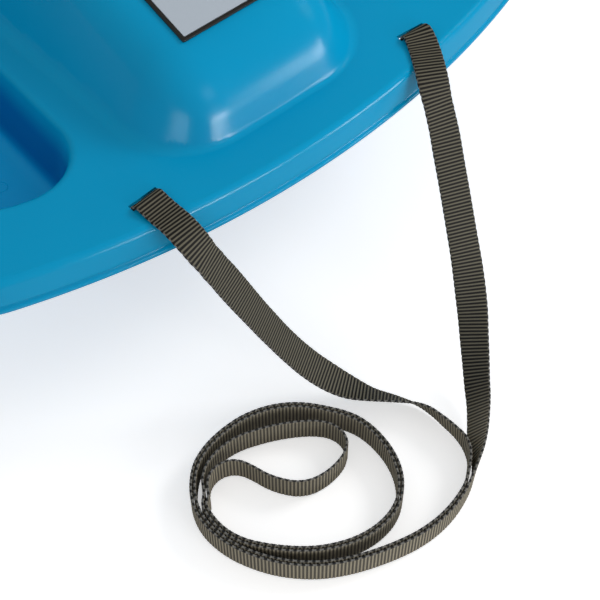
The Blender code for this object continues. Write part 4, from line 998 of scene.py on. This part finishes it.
def rim_inside():
    """The rim's inner section, from under the flange down to the lip's foot."""
    return [(-RIM_ROLL, -WALL), (-0.0074, -0.0034), (-0.0066, -0.0050), (-0.0058, -0.0090),
            (-0.0046, -0.0150), (-0.0040, -0.0214)]


def hole_wall(points, normals, rows, columns):
    """The wall around one hole: the block's edge points, and the same points below the flange."""
    block = border(rows[1] - rows[0] + 1, columns[1] - columns[0] + 1) + (rows[0], columns[0])
    top = points[block[:, 0], block[:, 1]]
    low = top - normals[block[:, 0], block[:, 1]] * WALL
    return np.stack([top, low])


def add_hull(finish):
    """The moulded tub: its upper skin with the rolled rim, and its underside.

    Both are the surface z = hull_z(x, y) over one grid, the underside a wall thickness inside it.
    """
    x, y = hull_plan()
    blocks = [fit_hole(x, y, *hole) for hole in hull_holes()]
    top = np.stack([x, y, hull_z(x, y)], axis=-1)
    normals = hull_slopes(x, y)
    add_hull_skin(top, normals, blocks, finish)
    coarse = [([r // 2 for r in rows], [c // 2 for c in columns]) for rows, columns in blocks]
    add_hull_underside((top - normals * WALL)[::2, ::2], -normals[::2, ::2], coarse, finish)


def open_faces(shape, blocks):
    """A grid's quads without the cells inside the blocks."""
    rows, columns = shape
    keep = np.ones((rows - 1, columns - 1), dtype=bool)
    for row_ends, column_ends in blocks:
        keep[row_ends[0]:row_ends[1], column_ends[0]:column_ends[1]] = False
    return grid_faces(rows, columns)[keep.ravel()]


def add_hull_skin(top, normals, blocks, finish):
    """The upper skin, its rim and the walls of its holes, as one mesh."""
    rows, columns = top.shape[:2]
    points, directions = [top.reshape(-1, 3)], [normals.reshape(-1, 3)]
    faces = [open_faces((rows, columns), blocks)]
    count = rows * columns
    edge = border(rows, columns)
    rings = rim_ring(top[edge[:, 0], edge[:, 1]], rim_section())
    outward = ring_normals(rings)
    outward[0] = normals[edge[:, 0], edge[:, 1]]
    points.append(rings.reshape(-1, 3))
    directions.append(outward.reshape(-1, 3))
    faces.append(grid_faces(len(rings), len(edge), close_columns=True)[:, ::-1] + count)
    count += rings.shape[0] * rings.shape[1]
    for row_ends, column_ends in blocks:
        wall = hole_wall(top, normals, row_ends, column_ends)
        middle = wall.mean(axis=(0, 1))
        points.append(wall.reshape(-1, 3))
        directions.append(unit((middle - wall) * (1, 1, 0)).reshape(-1, 3))
        faces.append(grid_faces(2, wall.shape[1], close_columns=True) + count)
        count += wall.shape[1] * 2
    points, directions = np.concatenate(points), np.concatenate(directions)
    skin = new_piece("hull_skin", points, faces, finish, normals=directions)
    dress(skin, "hull", "blue_plastic", "hull_shell")


def add_hull_underside(low, normals, blocks, finish):
    """The underside of the tub and the inside of its rim."""
    rows, columns = low.shape[:2]
    edge = border(rows, columns)
    level = low[edge[:, 0], edge[:, 1]] + np.array([0, 0, WALL])
    rings = rim_ring(level, rim_inside())
    inward = -ring_normals(rings)
    points = np.concatenate([low.reshape(-1, 3), rings.reshape(-1, 3)])
    directions = np.concatenate([normals.reshape(-1, 3), inward.reshape(-1, 3)])
    faces = [open_faces((rows, columns), blocks)[:, ::-1],
             grid_faces(len(rings), len(edge), close_columns=True) + rows * columns]
    under = new_piece("hull_underside", points, faces, finish, normals=directions)
    dress(under, "hull", "blue_plastic", "hull_shell")


def baked(piece, *helpers):
    """Applies a piece's modifiers to its mesh and removes the helper objects that they used."""
    bpy.context.view_layer.update()
    shaped = piece.evaluated_get(bpy.context.evaluated_depsgraph_get())
    mesh = bpy.data.meshes.new_from_object(shaped)
    piece.modifiers.clear()
    piece.data = mesh
    mesh.shade_smooth()
    mesh.set_sharp_from_angle(angle=CREASE)
    for helper in helpers:
        bpy.data.objects.remove(helper)
    return piece


def dress(piece, body, slot, *nodes):
    """The piece rides on a body and stands for its CAD nodes; the slot argument is not used."""
    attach(piece, body)
    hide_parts(*nodes)


def turned_piece(name, rows, place, axis, finish):
    """A turned or hexagonal piece along an axis through a place.

    Each row is (distance along the axis, radius, flats): with flats the radius is the lesser of
    itself and that of a hexagon of that apothem, r = flats / cos(((a + 30) mod 60) - 30), so that
    chamfers come out true.
    """
    angle = np.linspace(0, math.tau, TURN_STEPS, endpoint=False)
    hexagon = 1 / np.cos((angle + math.pi / 6) % (math.pi / 3) - math.pi / 6)
    axis = np.array(axis, float)
    side = unit(np.cross(axis, (0, 0, 1) if abs(axis[2]) < 0.5 else (1, 0, 0)))
    up = np.cross(axis, side)
    spokes = np.cos(angle)[:, None] * side + np.sin(angle)[:, None] * up
    rings = []
    for along_axis, radius, flats in rows:
        reach = np.minimum(radius, flats * hexagon) if flats else np.full(TURN_STEPS, radius)
        rings.append(np.array(place) + along_axis * axis + reach[:, None] * spokes)
    piece = new_piece(name, np.concatenate(rings), tube_faces(len(rows), TURN_STEPS), finish)
    piece.data.set_sharp_from_angle(angle=CREASE)
    return piece


def add_cap_nut(tail, x, y, finish):
    """A domed cap nut on its flange, in a keel channel."""
    foot = KEEL_HEIGHT + GAP
    flange = foot + NUT_FLANGE_HEIGHT
    dome = np.linspace(0, math.pi / 2 * 0.96, 10)
    crown = flange + NUT_HEX_HEIGHT
    rows = [(foot, NUT_FLANGE_RADIUS - EASE, 0), (foot + EASE, NUT_FLANGE_RADIUS, 0),
            (flange - 0.0005, NUT_FLANGE_RADIUS, 0), (flange, NUT_FLANGE_RADIUS - 0.0012, 0),
            (flange, NUT_RADIUS, NUT_FLATS), (crown - 0.0009, NUT_RADIUS, NUT_FLATS),
            (crown - 0.0001, NUT_FLATS * 1.02, NUT_FLATS), (crown, DOME_RADIUS + 0.0001, 0)]
    rise = NUT_HEIGHT - NUT_FLANGE_HEIGHT - NUT_HEX_HEIGHT
    rows += [(crown + rise * math.sin(a), DOME_RADIUS * math.cos(a), 0) for a in dome]
    nut = turned_piece("cap_nut_fine_" + tail, rows, (x, y, 0), (0, 0, 1), finish)
    dress(nut, "hull", "zinc_fasteners", "cap_nut_" + tail)


def add_rail_screw(tail, x, y, finish):
    """A countersunk screw under the rail, with a hexagon socket in its head."""
    depth = SCREW_SOCKET_DEPTH
    rows = [(KEEL_HEIGHT, SCREW_RADIUS, 0), (GAP + SCREW_HEAD_HEIGHT, SCREW_RADIUS, 0),
            (GAP + 0.0003, SCREW_HEAD_RADIUS, 0), (GAP, SCREW_HEAD_RADIUS - 0.0001, 0),
            (GAP, SCREW_SOCKET_FLATS * 1.3, SCREW_SOCKET_FLATS),
            (GAP + depth, SCREW_SOCKET_FLATS * 1.3, SCREW_SOCKET_FLATS)]
    screw = turned_piece("rail_screw_fine_" + tail, rows, (x, y, 0), (0, 0, 1), finish)
    screw.data.flip_normals()
    dress(screw, "hull", "zinc_fasteners", "rail_screw_" + tail)


def add_runner_fasteners(finish):
    """The screws and cap nuts of both runners."""
    for side, sign in SIDES:
        for index, station in enumerate(SCREW_STATIONS):
            tail = f"{side}_{index + 1}"
            add_cap_nut(tail, sign * RAIL_X, BOW + station, finish)
            add_rail_screw(tail, sign * RAIL_X, BOW + station, finish)


def add_pivot(side, sign, finish):
    """The stud, washers and lock nut that hold one brake."""
    place, axis = (0, PIVOT_Y, PIVOT_HEIGHT), (sign, 0, 0)
    outward = LEVER_X + LEVER_THICKNESS / 2 + GAP
    for name, foot in (("inner_washer_", BOSS_FACE_X + GAP), ("outer_washer_", outward)):
        top = foot + WASHER_THICKNESS
        rows = [(foot, STUD_RADIUS, 0), (foot, WASHER_RADIUS - EASE, 0), (foot + EASE, WASHER_RADIUS, 0),
                (top - EASE, WASHER_RADIUS, 0), (top, WASHER_RADIUS - EASE, 0), (top, STUD_RADIUS, 0)]
        washer = turned_piece(name + "fine_" + side, rows, place, axis, finish)
        dress(washer, "hull", "zinc_fasteners", name + side)
    face = outward + WASHER_THICKNESS + GAP
    top = face + LOCK_NUT_HEIGHT
    flats = LOCK_NUT_RADIUS * math.cos(math.pi / 6)
    rows = [(face, STUD_RADIUS, 0), (face, flats, 0), (face + LOCK_NUT_CHAMFER, LOCK_NUT_RADIUS, flats),
            (top - 0.0022, LOCK_NUT_RADIUS, flats), (top - 0.0015, flats * 0.98, flats),
            (top - 0.0014, flats * 0.86, 0), (top - 0.0004, flats * 0.84, 0), (top, flats * 0.74, 0),
            (top, STUD_RADIUS * 1.02, 0), (top - 0.0006, STUD_RADIUS * 1.02, 0)]
    nut = turned_piece("lock_nut_fine_" + side, rows, place, axis, finish)
    dress(nut, "hull", "zinc_fasteners", "lock_nut_" + side)
    end = top + STUD_PROUD
    rows = [(BOSS_FACE_X - 0.004, STUD_RADIUS, 0), (end - STUD_CHAMFER, STUD_RADIUS, 0),
            (end - 0.0002, STUD_RADIUS * 0.82, 0), (end, STUD_RADIUS * 0.76, 0)]
    stud = turned_piece("pivot_stud_fine_" + side, rows, place, axis, finish)
    dress(stud, "hull", "zinc_fasteners", "pivot_stud_" + side)


def add_boss(side, sign, finish):
    """The round boss on the tub's wall, flaring into it with a fillet.

    At angle a and share t from the wall to the face, x runs along the boss and the radius is
    BOSS_RADIUS + BOSS_FILLET (1 - sqrt(1 - (1 - d / BOSS_FILLET)^2)) at distance d from the wall.
    """
    angle = np.linspace(0, math.tau, TURN_STEPS, endpoint=False)
    root = WIDTH / 2 - FLANGE - (RIM_HEIGHT - PIVOT_HEIGHT) * math.tan(DRAFT) + WALL / math.cos(DRAFT)
    share = np.concatenate([np.linspace(0, 1, 9) ** 1.6 * BOSS_FILLET, [BOSS_FILLET * 1.5]])
    rings = []
    for out in share:
        flare = BOSS_FILLET * (1 - math.sqrt(max(0.0, 1 - max(0.0, 1 - out / BOSS_FILLET) ** 2)))
        reach = BOSS_RADIUS + flare
        up = reach * np.sin(angle)
        wall = root + up * math.tan(DRAFT) - EASE
        rings.append(np.stack([wall + out, reach * np.cos(angle), up], axis=1))
    for x, radius in ((BOSS_FACE_X - BOSS_EDGE, BOSS_RADIUS), (BOSS_FACE_X - EASE, BOSS_RADIUS - EASE),
                      (BOSS_FACE_X, BOSS_RADIUS - BOSS_EDGE), (BOSS_FACE_X, STUD_RADIUS)):
        ring = (np.full(TURN_STEPS, x), radius * np.cos(angle), radius * np.sin(angle))
        rings.append(np.stack(ring, axis=1))
    points = np.concatenate(rings) * (sign, 1, 1) + (0, PIVOT_Y, PIVOT_HEIGHT)
    quads = grid_faces(len(rings), TURN_STEPS, close_columns=True)
    boss = new_piece("brake_boss_" + side, points, [quads if sign > 0 else quads[:, ::-1]], finish)
    boss.data.set_sharp_from_angle(angle=CREASE)
    dress(boss, "hull", "blue_plastic", "hull_shell")


def lever_point(angle, distance, across=0.0):
    """A point in the lever's plane at a distance along an angle and to its left."""
    return (
        distance * math.cos(angle) - across * math.sin(angle),
        distance * math.sin(angle) + across * math.cos(angle),
    )


def arc(centre, radius, start, end, count):
    """Points along an arc in the plane, angles in radians."""
    angles = np.linspace(start, end, count)
    return [(centre[0] + radius * math.cos(a), centre[1] + radius * math.sin(a)) for a in angles]


def plate(name, outline, inner, outer, sign, finish):
    """A plate in a brake's plane between two distances from the sled's middle."""
    flat = np.array(outline) + (PIVOT_Y, PIVOT_HEIGHT)
    count = len(flat)
    rings = [np.column_stack([np.full(count, sign * x), flat]) for x in (inner, outer)]
    return new_piece(name, np.concatenate(rings), tube_faces(2, count, sign < 0), finish)


def lever_outline():
    """The lever's outline about its pivot: the claw arm, the hub and the handle."""
    handle, arm = math.pi / 2 + HANDLE_REST, -ARM_REST
    spread_arm = math.asin(ARM_HALF_WIDTH / HUB_RADIUS)
    spread_handle = math.asin(HANDLE_HALF_WIDTH / HUB_RADIUS)
    arm_end = lever_point(arm, ARM_LENGTH)
    handle_end = lever_point(handle, HANDLE_LENGTH - HANDLE_HALF_WIDTH)
    quarter = math.pi / 2
    outline = arc(arm_end, ARM_HALF_WIDTH, arm - quarter, arm + quarter, LEVER_STEPS)
    outline += arc((0, 0), HUB_RADIUS, arm + spread_arm, handle - spread_handle, LEVER_STEPS)
    outline += arc(handle_end, HANDLE_HALF_WIDTH, handle - quarter, handle + quarter, LEVER_STEPS)
    outline += arc((0, 0), HUB_RADIUS, handle + spread_handle, arm - spread_arm + math.tau, HUB_STEPS)
    return outline


def pocket_outline(angle, start, end, half):
    """A long pocket with round ends along one arm of the lever."""
    first, last = lever_point(angle, start + half), lever_point(angle, end - half)
    outline = arc(last, half, angle - math.pi / 2, angle + math.pi / 2, POCKET_STEPS)
    return outline + arc(first, half, angle + math.pi / 2, angle + math.pi * 3 / 2, POCKET_STEPS)


def add_lever(side, sign, finish):
    """The moulded lever: a plate with pockets in both faces, which leave ribs along its edges."""
    inner, outer = LEVER_X - LEVER_THICKNESS / 2, LEVER_X + LEVER_THICKNESS / 2
    lever = plate("brake_lever_fine_" + side, lever_outline(), inner, outer, sign, finish)
    pockets = (
        (-ARM_REST, ARM_LENGTH - 2 * RIVET_SPACING, ARM_HALF_WIDTH),
        (math.pi / 2 + HANDLE_REST, GRIP_START - POCKET_RIB, HANDLE_HALF_WIDTH),
    )
    depths = ((inner - CUT_SPARE, inner + POCKET_DEPTH), (outer - POCKET_DEPTH, outer + CUT_SPARE))
    helpers = []
    for angle, end, half in pockets:
        outline = pocket_outline(angle, POCKET_START, end, half - POCKET_RIB)
        for low, high in depths:
            helper = plate("pocket", outline, low, high, sign, finish)
            cut = lever.modifiers.new("pocket", "BOOLEAN")
            cut.solver, cut.operation, cut.object = "EXACT", "DIFFERENCE", helper
            helpers.append(helper)
    rounding = lever.modifiers.new("rounding", "BEVEL")
    rounding.width, rounding.segments, rounding.limit_method = LEVER_ROUNDING, 3, "ANGLE"
    rounding.angle_limit = CREASE
    baked(lever, *helpers)
    dress(lever, "brake_" + side, "black_plastic", "brake_lever_" + side)


def claw_outline():
    """The toothed steel plate: straight sides along the arm and a row of teeth past its end."""
    arm = -ARM_REST
    back = ARM_LENGTH - RIVET_SPACING - CLAW_OVERHANG
    tip = ARM_LENGTH + CLAW_REACH
    root = tip - CLAW_TOOTH
    neck = CLAW_HALF_WIDTH * CLAW_NECK
    places = [(back, neck), (back, -neck), (ARM_LENGTH, -CLAW_HALF_WIDTH)]
    pitch = 2 * CLAW_HALF_WIDTH / CLAW_TEETH
    for tooth in range(CLAW_TEETH):
        low = -CLAW_HALF_WIDTH + tooth * pitch
        for reach, share in zip((root, tip, tip, root), CLAW_TOOTH_SHAPE):
            places.append((reach, low + share * pitch))
    places.append((ARM_LENGTH, CLAW_HALF_WIDTH))
    return [lever_point(arm, distance, across) for distance, across in places]


def add_claw(side, sign, finish):
    """The steel claw with its edges eased."""
    foot = LEVER_X + LEVER_THICKNESS / 2 + GAP
    claw = plate("brake_claw_fine_" + side, claw_outline(), foot, foot + CLAW_THICKNESS, sign, finish)
    easing = claw.modifiers.new("easing", "BEVEL")
    easing.width, easing.segments, easing.limit_method = CLAW_EASE, 2, "ANGLE"
    easing.angle_limit = CLAW_CREASE
    baked(claw)
    dress(claw, "brake_" + side, "galvanised_steel", "brake_claw_" + side)


def add_claw_rivets(side, sign, finish):
    """The two domed rivets through the arm and the claw."""
    outward = LEVER_X + LEVER_THICKNESS / 2 + GAP + CLAW_THICKNESS + GAP
    inward = LEVER_X - LEVER_THICKNESS / 2 - GAP
    for index in range(2):
        u, v = lever_point(-ARM_REST, ARM_LENGTH - RIVET_INSET - index * RIVET_SPACING)
        dome = [(RIVET_HEAD_HEIGHT * math.sin(a), RIVET_HEAD_RADIUS * math.cos(a))
                for a in np.linspace(math.pi / 2 * DOME_SHARE, 0, RIVET_STEPS)]
        rows = [(inward - rise, radius, 0) for rise, radius in dome]
        rows += [(inward, RIVET_RADIUS, 0), (outward, RIVET_RADIUS, 0)]
        rows += [(outward + rise, radius, 0) for rise, radius in dome[::-1]]
        tail = f"{side}_{index + 1}"
        place = (0, PIVOT_Y + u, PIVOT_HEIGHT + v)
        rivet = turned_piece("claw_rivet_fine_" + tail, rows, place, (sign, 0, 0), finish)
        dress(rivet, "brake_" + side, "zinc_fasteners", "claw_rivet_" + tail)


def add_grip(side, sign, finish):
    """The rubber grip: a ribbed sleeve with a round top and a collar at its lower end.

    At distance s along the handle and angle a, the section is the superellipse
    (w |cos a|^(2/n), t |sin a|^(2/n)), its size less the rib wave GRIP_RIB (1 - cos(tau s / pitch)) / 2.
    """
    end = HANDLE_LENGTH + GRIP_WALL + GAP
    half_width = HANDLE_HALF_WIDTH + GAP + GRIP_WALL
    half_depth = LEVER_THICKNESS / 2 + GAP + GRIP_WALL
    straight = end - half_width
    cap = np.sin(np.linspace(0, math.pi / 2, GRIP_CAP_STEPS))[1:]
    body = np.linspace(GRIP_START, straight, GRIP_BODY_STEPS)
    station = np.concatenate([body, straight + half_width * cap])
    angle = np.linspace(0, math.tau, GRIP_ROUND_STEPS, endpoint=False)
    power = 2 / GRIP_SQUARENESS
    wide = np.sign(np.cos(angle)) * np.abs(np.cos(angle)) ** power
    deep = np.sign(np.sin(angle)) * np.abs(np.sin(angle)) ** power
    past = np.maximum(station - straight, 0) / half_width
    closing = np.sqrt(np.maximum(1 - past**2, 1e-4))
    ribbed = smooth_step((station - GRIP_START - GRIP_COLLAR) / GRIP_FADE[0])
    ribbed = ribbed * smooth_step((straight - station) / GRIP_FADE[1])
    wave = (1 - np.cos(math.tau * station / GRIP_RIB_PITCH)) / 2
    loss = GRIP_RIB * ribbed * (GRIP_WAIST + (1 - GRIP_WAIST) * wave)
    u_width = (half_width - loss) * closing
    u_depth = (half_depth - loss) * (1 - (1 - closing) * GRIP_CAP_TAPER)
    handle = math.pi / 2 + HANDLE_REST
    run = np.array(lever_point(handle, 1.0))
    cross = np.array(lever_point(handle, 0.0, 1.0))
    flat = station[:, None, None] * run + (u_width[:, None] * wide[None])[..., None] * cross
    x = sign * (LEVER_X + u_depth[:, None] * deep[None])
    points = np.concatenate([x[..., None], flat + (PIVOT_Y, PIVOT_HEIGHT)], axis=-1)
    faces = tube_faces(*points.shape[:2], sign < 0)
    grip = new_piece("brake_grip_fine_" + side, points.reshape(-1, 3), faces, finish)
    grip.data.set_sharp_from_angle(angle=GRIP_CREASE)
    dress(grip, "brake_" + side, "grip_rubber", "brake_grip_" + side)


def add_brakes(hull, lever, rubber, steel, zinc):
    """Both hand brakes with the bosses that carry them."""
    for side, sign in SIDES:
        add_boss(side, sign, hull)
        add_pivot(side, sign, zinc)
        add_lever(side, sign, lever)
        add_grip(side, sign, rubber)
        add_claw(side, sign, steel)
        add_claw_rivets(side, sign, zinc)


def repaint(finish, *nodes):
    """Gives CAD nodes that stay in view their finish."""
    for node in nodes:
        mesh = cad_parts[node].data
        mesh.materials.clear()
        mesh.materials.append(finish)


def label_plane(flat, raised):
    """Points of the label's tilted plane: (across, along) from its middle, raised off the console."""
    middle = LABEL_SETBACK + LABEL_LENGTH / 2 * math.cos(CONSOLE_PITCH)
    seat = RIM_HEIGHT + CONSOLE_NOSE_HEIGHT + math.tan(CONSOLE_PITCH) * middle
    across, along_label = flat[..., 0], flat[..., 1]
    rise = raised + GAP
    return np.stack([
        across,
        CONSOLE_FRONT + middle + along_label * math.cos(CONSOLE_PITCH) - rise * math.sin(CONSOLE_PITCH),
        seat + along_label * math.sin(CONSOLE_PITCH) + rise * math.cos(CONSOLE_PITCH),
    ], axis=-1)


def rounded_oblong(width, length, corner):
    """Points once round a rectangle with round corners."""
    points = []
    for turn, (side, end) in enumerate(((1, -1), (1, 1), (-1, 1), (-1, -1))):
        centre = (side * (width / 2 - corner), end * (length / 2 - corner))
        start = (turn - 1) * math.pi / 2
        points += arc(centre, corner, start, start + math.pi / 2, LABEL_CORNER_STEPS)
    return np.array(points)


def add_label(frame_paint, card_paint):
    """The label: a dark border with eased edges and a bare pale card inside it.

    The border's section is a row of (inset from the outer edge, height) carried round the oblong.
    """
    edge, top = 0.0004, FRAME_THICKNESS
    section = [(0.0, 0.0), (0.0, top - edge), (0.00012, top - edge * 0.3), (edge, top),
               (LABEL_BORDER * 0.52, top), (LABEL_BORDER * 0.60, top - 0.0003),
               (LABEL_BORDER - 0.0003, top - 0.0005), (LABEL_BORDER, top - 0.0008), (LABEL_BORDER, 0.0)]
    rings = []
    for inset, height in section:
        corner = max(LABEL_CORNER - inset, 0.0002)
        oblong = rounded_oblong(LABEL_WIDTH - 2 * inset, LABEL_LENGTH - 2 * inset, corner)
        rings.append(label_plane(oblong, height))
    count = len(rings[0])
    quads = grid_faces(len(rings), count, close_rows=True, close_columns=True)
    border = new_piece("label_border", np.concatenate(rings), [quads], frame_paint)
    border.data.set_sharp_from_angle(angle=CREASE)
    dress(border, "hull", "black_frame", "label_frame")
    inset = LABEL_BORDER + GAP
    oblong = rounded_oblong(LABEL_WIDTH - 2 * inset, LABEL_LENGTH - 2 * inset, 0.0004)
    rings = [label_plane(oblong, height) for height in (0.0, CARD_THICKNESS)]
    card = new_piece("label_face", np.concatenate(rings), tube_faces(2, count), card_paint)
    card.data.set_sharp_from_angle(angle=CREASE)
    dress(card, "hull", "pale_card", "label_card")


def add_floor():
    """A plain pale floor that keeps the shadow and shows white to the camera.

    Gloss shows the floor white beside the sled and darker farther off.
    """
    made = Finish("pale_floor", FLOOR_COLOUR, 0.6)
    beside, along, _ = made.axes(made.place())
    beyond_side, beyond_end = beside.maths("ABSOLUTE") - WIDTH / 2, along.maths("ABSOLUTE") - LENGTH / 2
    near = 1.0 - beyond_side.maths("MAXIMUM", beyond_end).step(*FLOOR_FADE)
    path = made.node("ShaderNodeLightPath", "Is Camera Ray")
    glossy = made.node("ShaderNodeLightPath", "Is Glossy Ray")
    seen = path.maths("MAXIMUM", glossy * (near * (1 - FLOOR_FAR) + FLOOR_FAR))
    made.shader.inputs["Emission Strength"].default_value = FLOOR_GLOW
    made.feed("Emission Color", made.blend(seen, (0.0, 0.0, 0.0), (1.0, 1.0, 1.0)))
    made.feed("Base Color", made.blend(glossy, FLOOR_COLOUR, FLOOR_IN_GLOSS))
    half = FLOOR_SIZE / 2
    corners = [(-half, -half, 0), (half, -half, 0), (half, half, 0), (-half, half, 0)]
    floor = new_piece("floor", corners, [[(0, 1, 2, 3)]], made.material)


def add_lamp(name, place, target, size, power, mirrored):
    """A soft box that looks at a target and is seen in gloss alone, or lights without gloss."""
    light = bpy.data.lights.new(name, "AREA")
    light.shape = "RECTANGLE"
    light.size = size[0]
    light.size_y = size[1]
    light.energy = power
    lamp = bpy.data.objects.new(name, light)
    lamp.location = place
    lamp.rotation_euler = (Vector(target) - Vector(place)).to_track_quat("-Z", "Y").to_euler()
    lamp.visible_camera = False
    lamp.visible_glossy = mirrored
    lamp.visible_diffuse = not mirrored
    bpy.context.scene.collection.objects.link(lamp)


def add_light():
    """The studio: a white surround that darkens overhead, a key light and low soft boxes in front.

    Away from the camera the surround's strength falls from 1 at the horizon to CEILING overhead, so that
    level gloss stays dark and upright gloss shows the white.
    """
    world = bpy.data.worlds.new("studio")
    world.use_nodes = True
    tree = world.node_tree
    surround = tree.nodes["Background"]
    surround.inputs["Color"].default_value = (1.0, 1.0, 1.0, 1.0)
    place = tree.nodes.new("ShaderNodeTexCoord")
    split = tree.nodes.new("ShaderNodeSeparateXYZ")
    tree.links.new(place.outputs["Generated"], split.inputs[0])
    path = tree.nodes.new("ShaderNodeLightPath")
    camera = Sum(tree, path.outputs["Is Camera Ray"])
    through = Sum(tree, path.outputs["Is Transmission Ray"])
    glossy = Sum(tree, path.outputs["Is Glossy Ray"]).maths("MAXIMUM", through)
    overhead = Sum(tree, split.outputs["Z"]).step(*CEILING_EDGE)
    shown = 1.0 - overhead * (1.0 - CEILING)
    strength = camera.maths("MAXIMUM", glossy * shown + (1.0 - glossy) * SURROUND)
    tree.links.new(strength.socket, surround.inputs["Strength"])
    bpy.context.scene.world = world
    for lamp in LAMPS:
        add_lamp(*lamp)


def main():
    """Sets the camera, then makes each piece, the floor and the light."""
    add_camera()
    add_webbing(webbing_finish())
    hull, zinc, steel = blue_hull_finish(), zinc_finish(), galvanised_finish()
    add_hull(hull)
    add_runner_fasteners(zinc)
    add_brakes(hull, lever_finish(), rubber_finish(), steel, zinc)
    add_label(dark_frame_finish(), card_finish())
    for side, _ in SIDES:
        repaint(steel, "runner_rail_" + side)
        repaint(zinc, "strap_bar_" + side)
        repaint(loop_finish(), "strap_loop_" + side)
    add_floor()
    add_light()
    view = bpy.context.scene.view_settings
    view.view_transform = "Standard"


main()
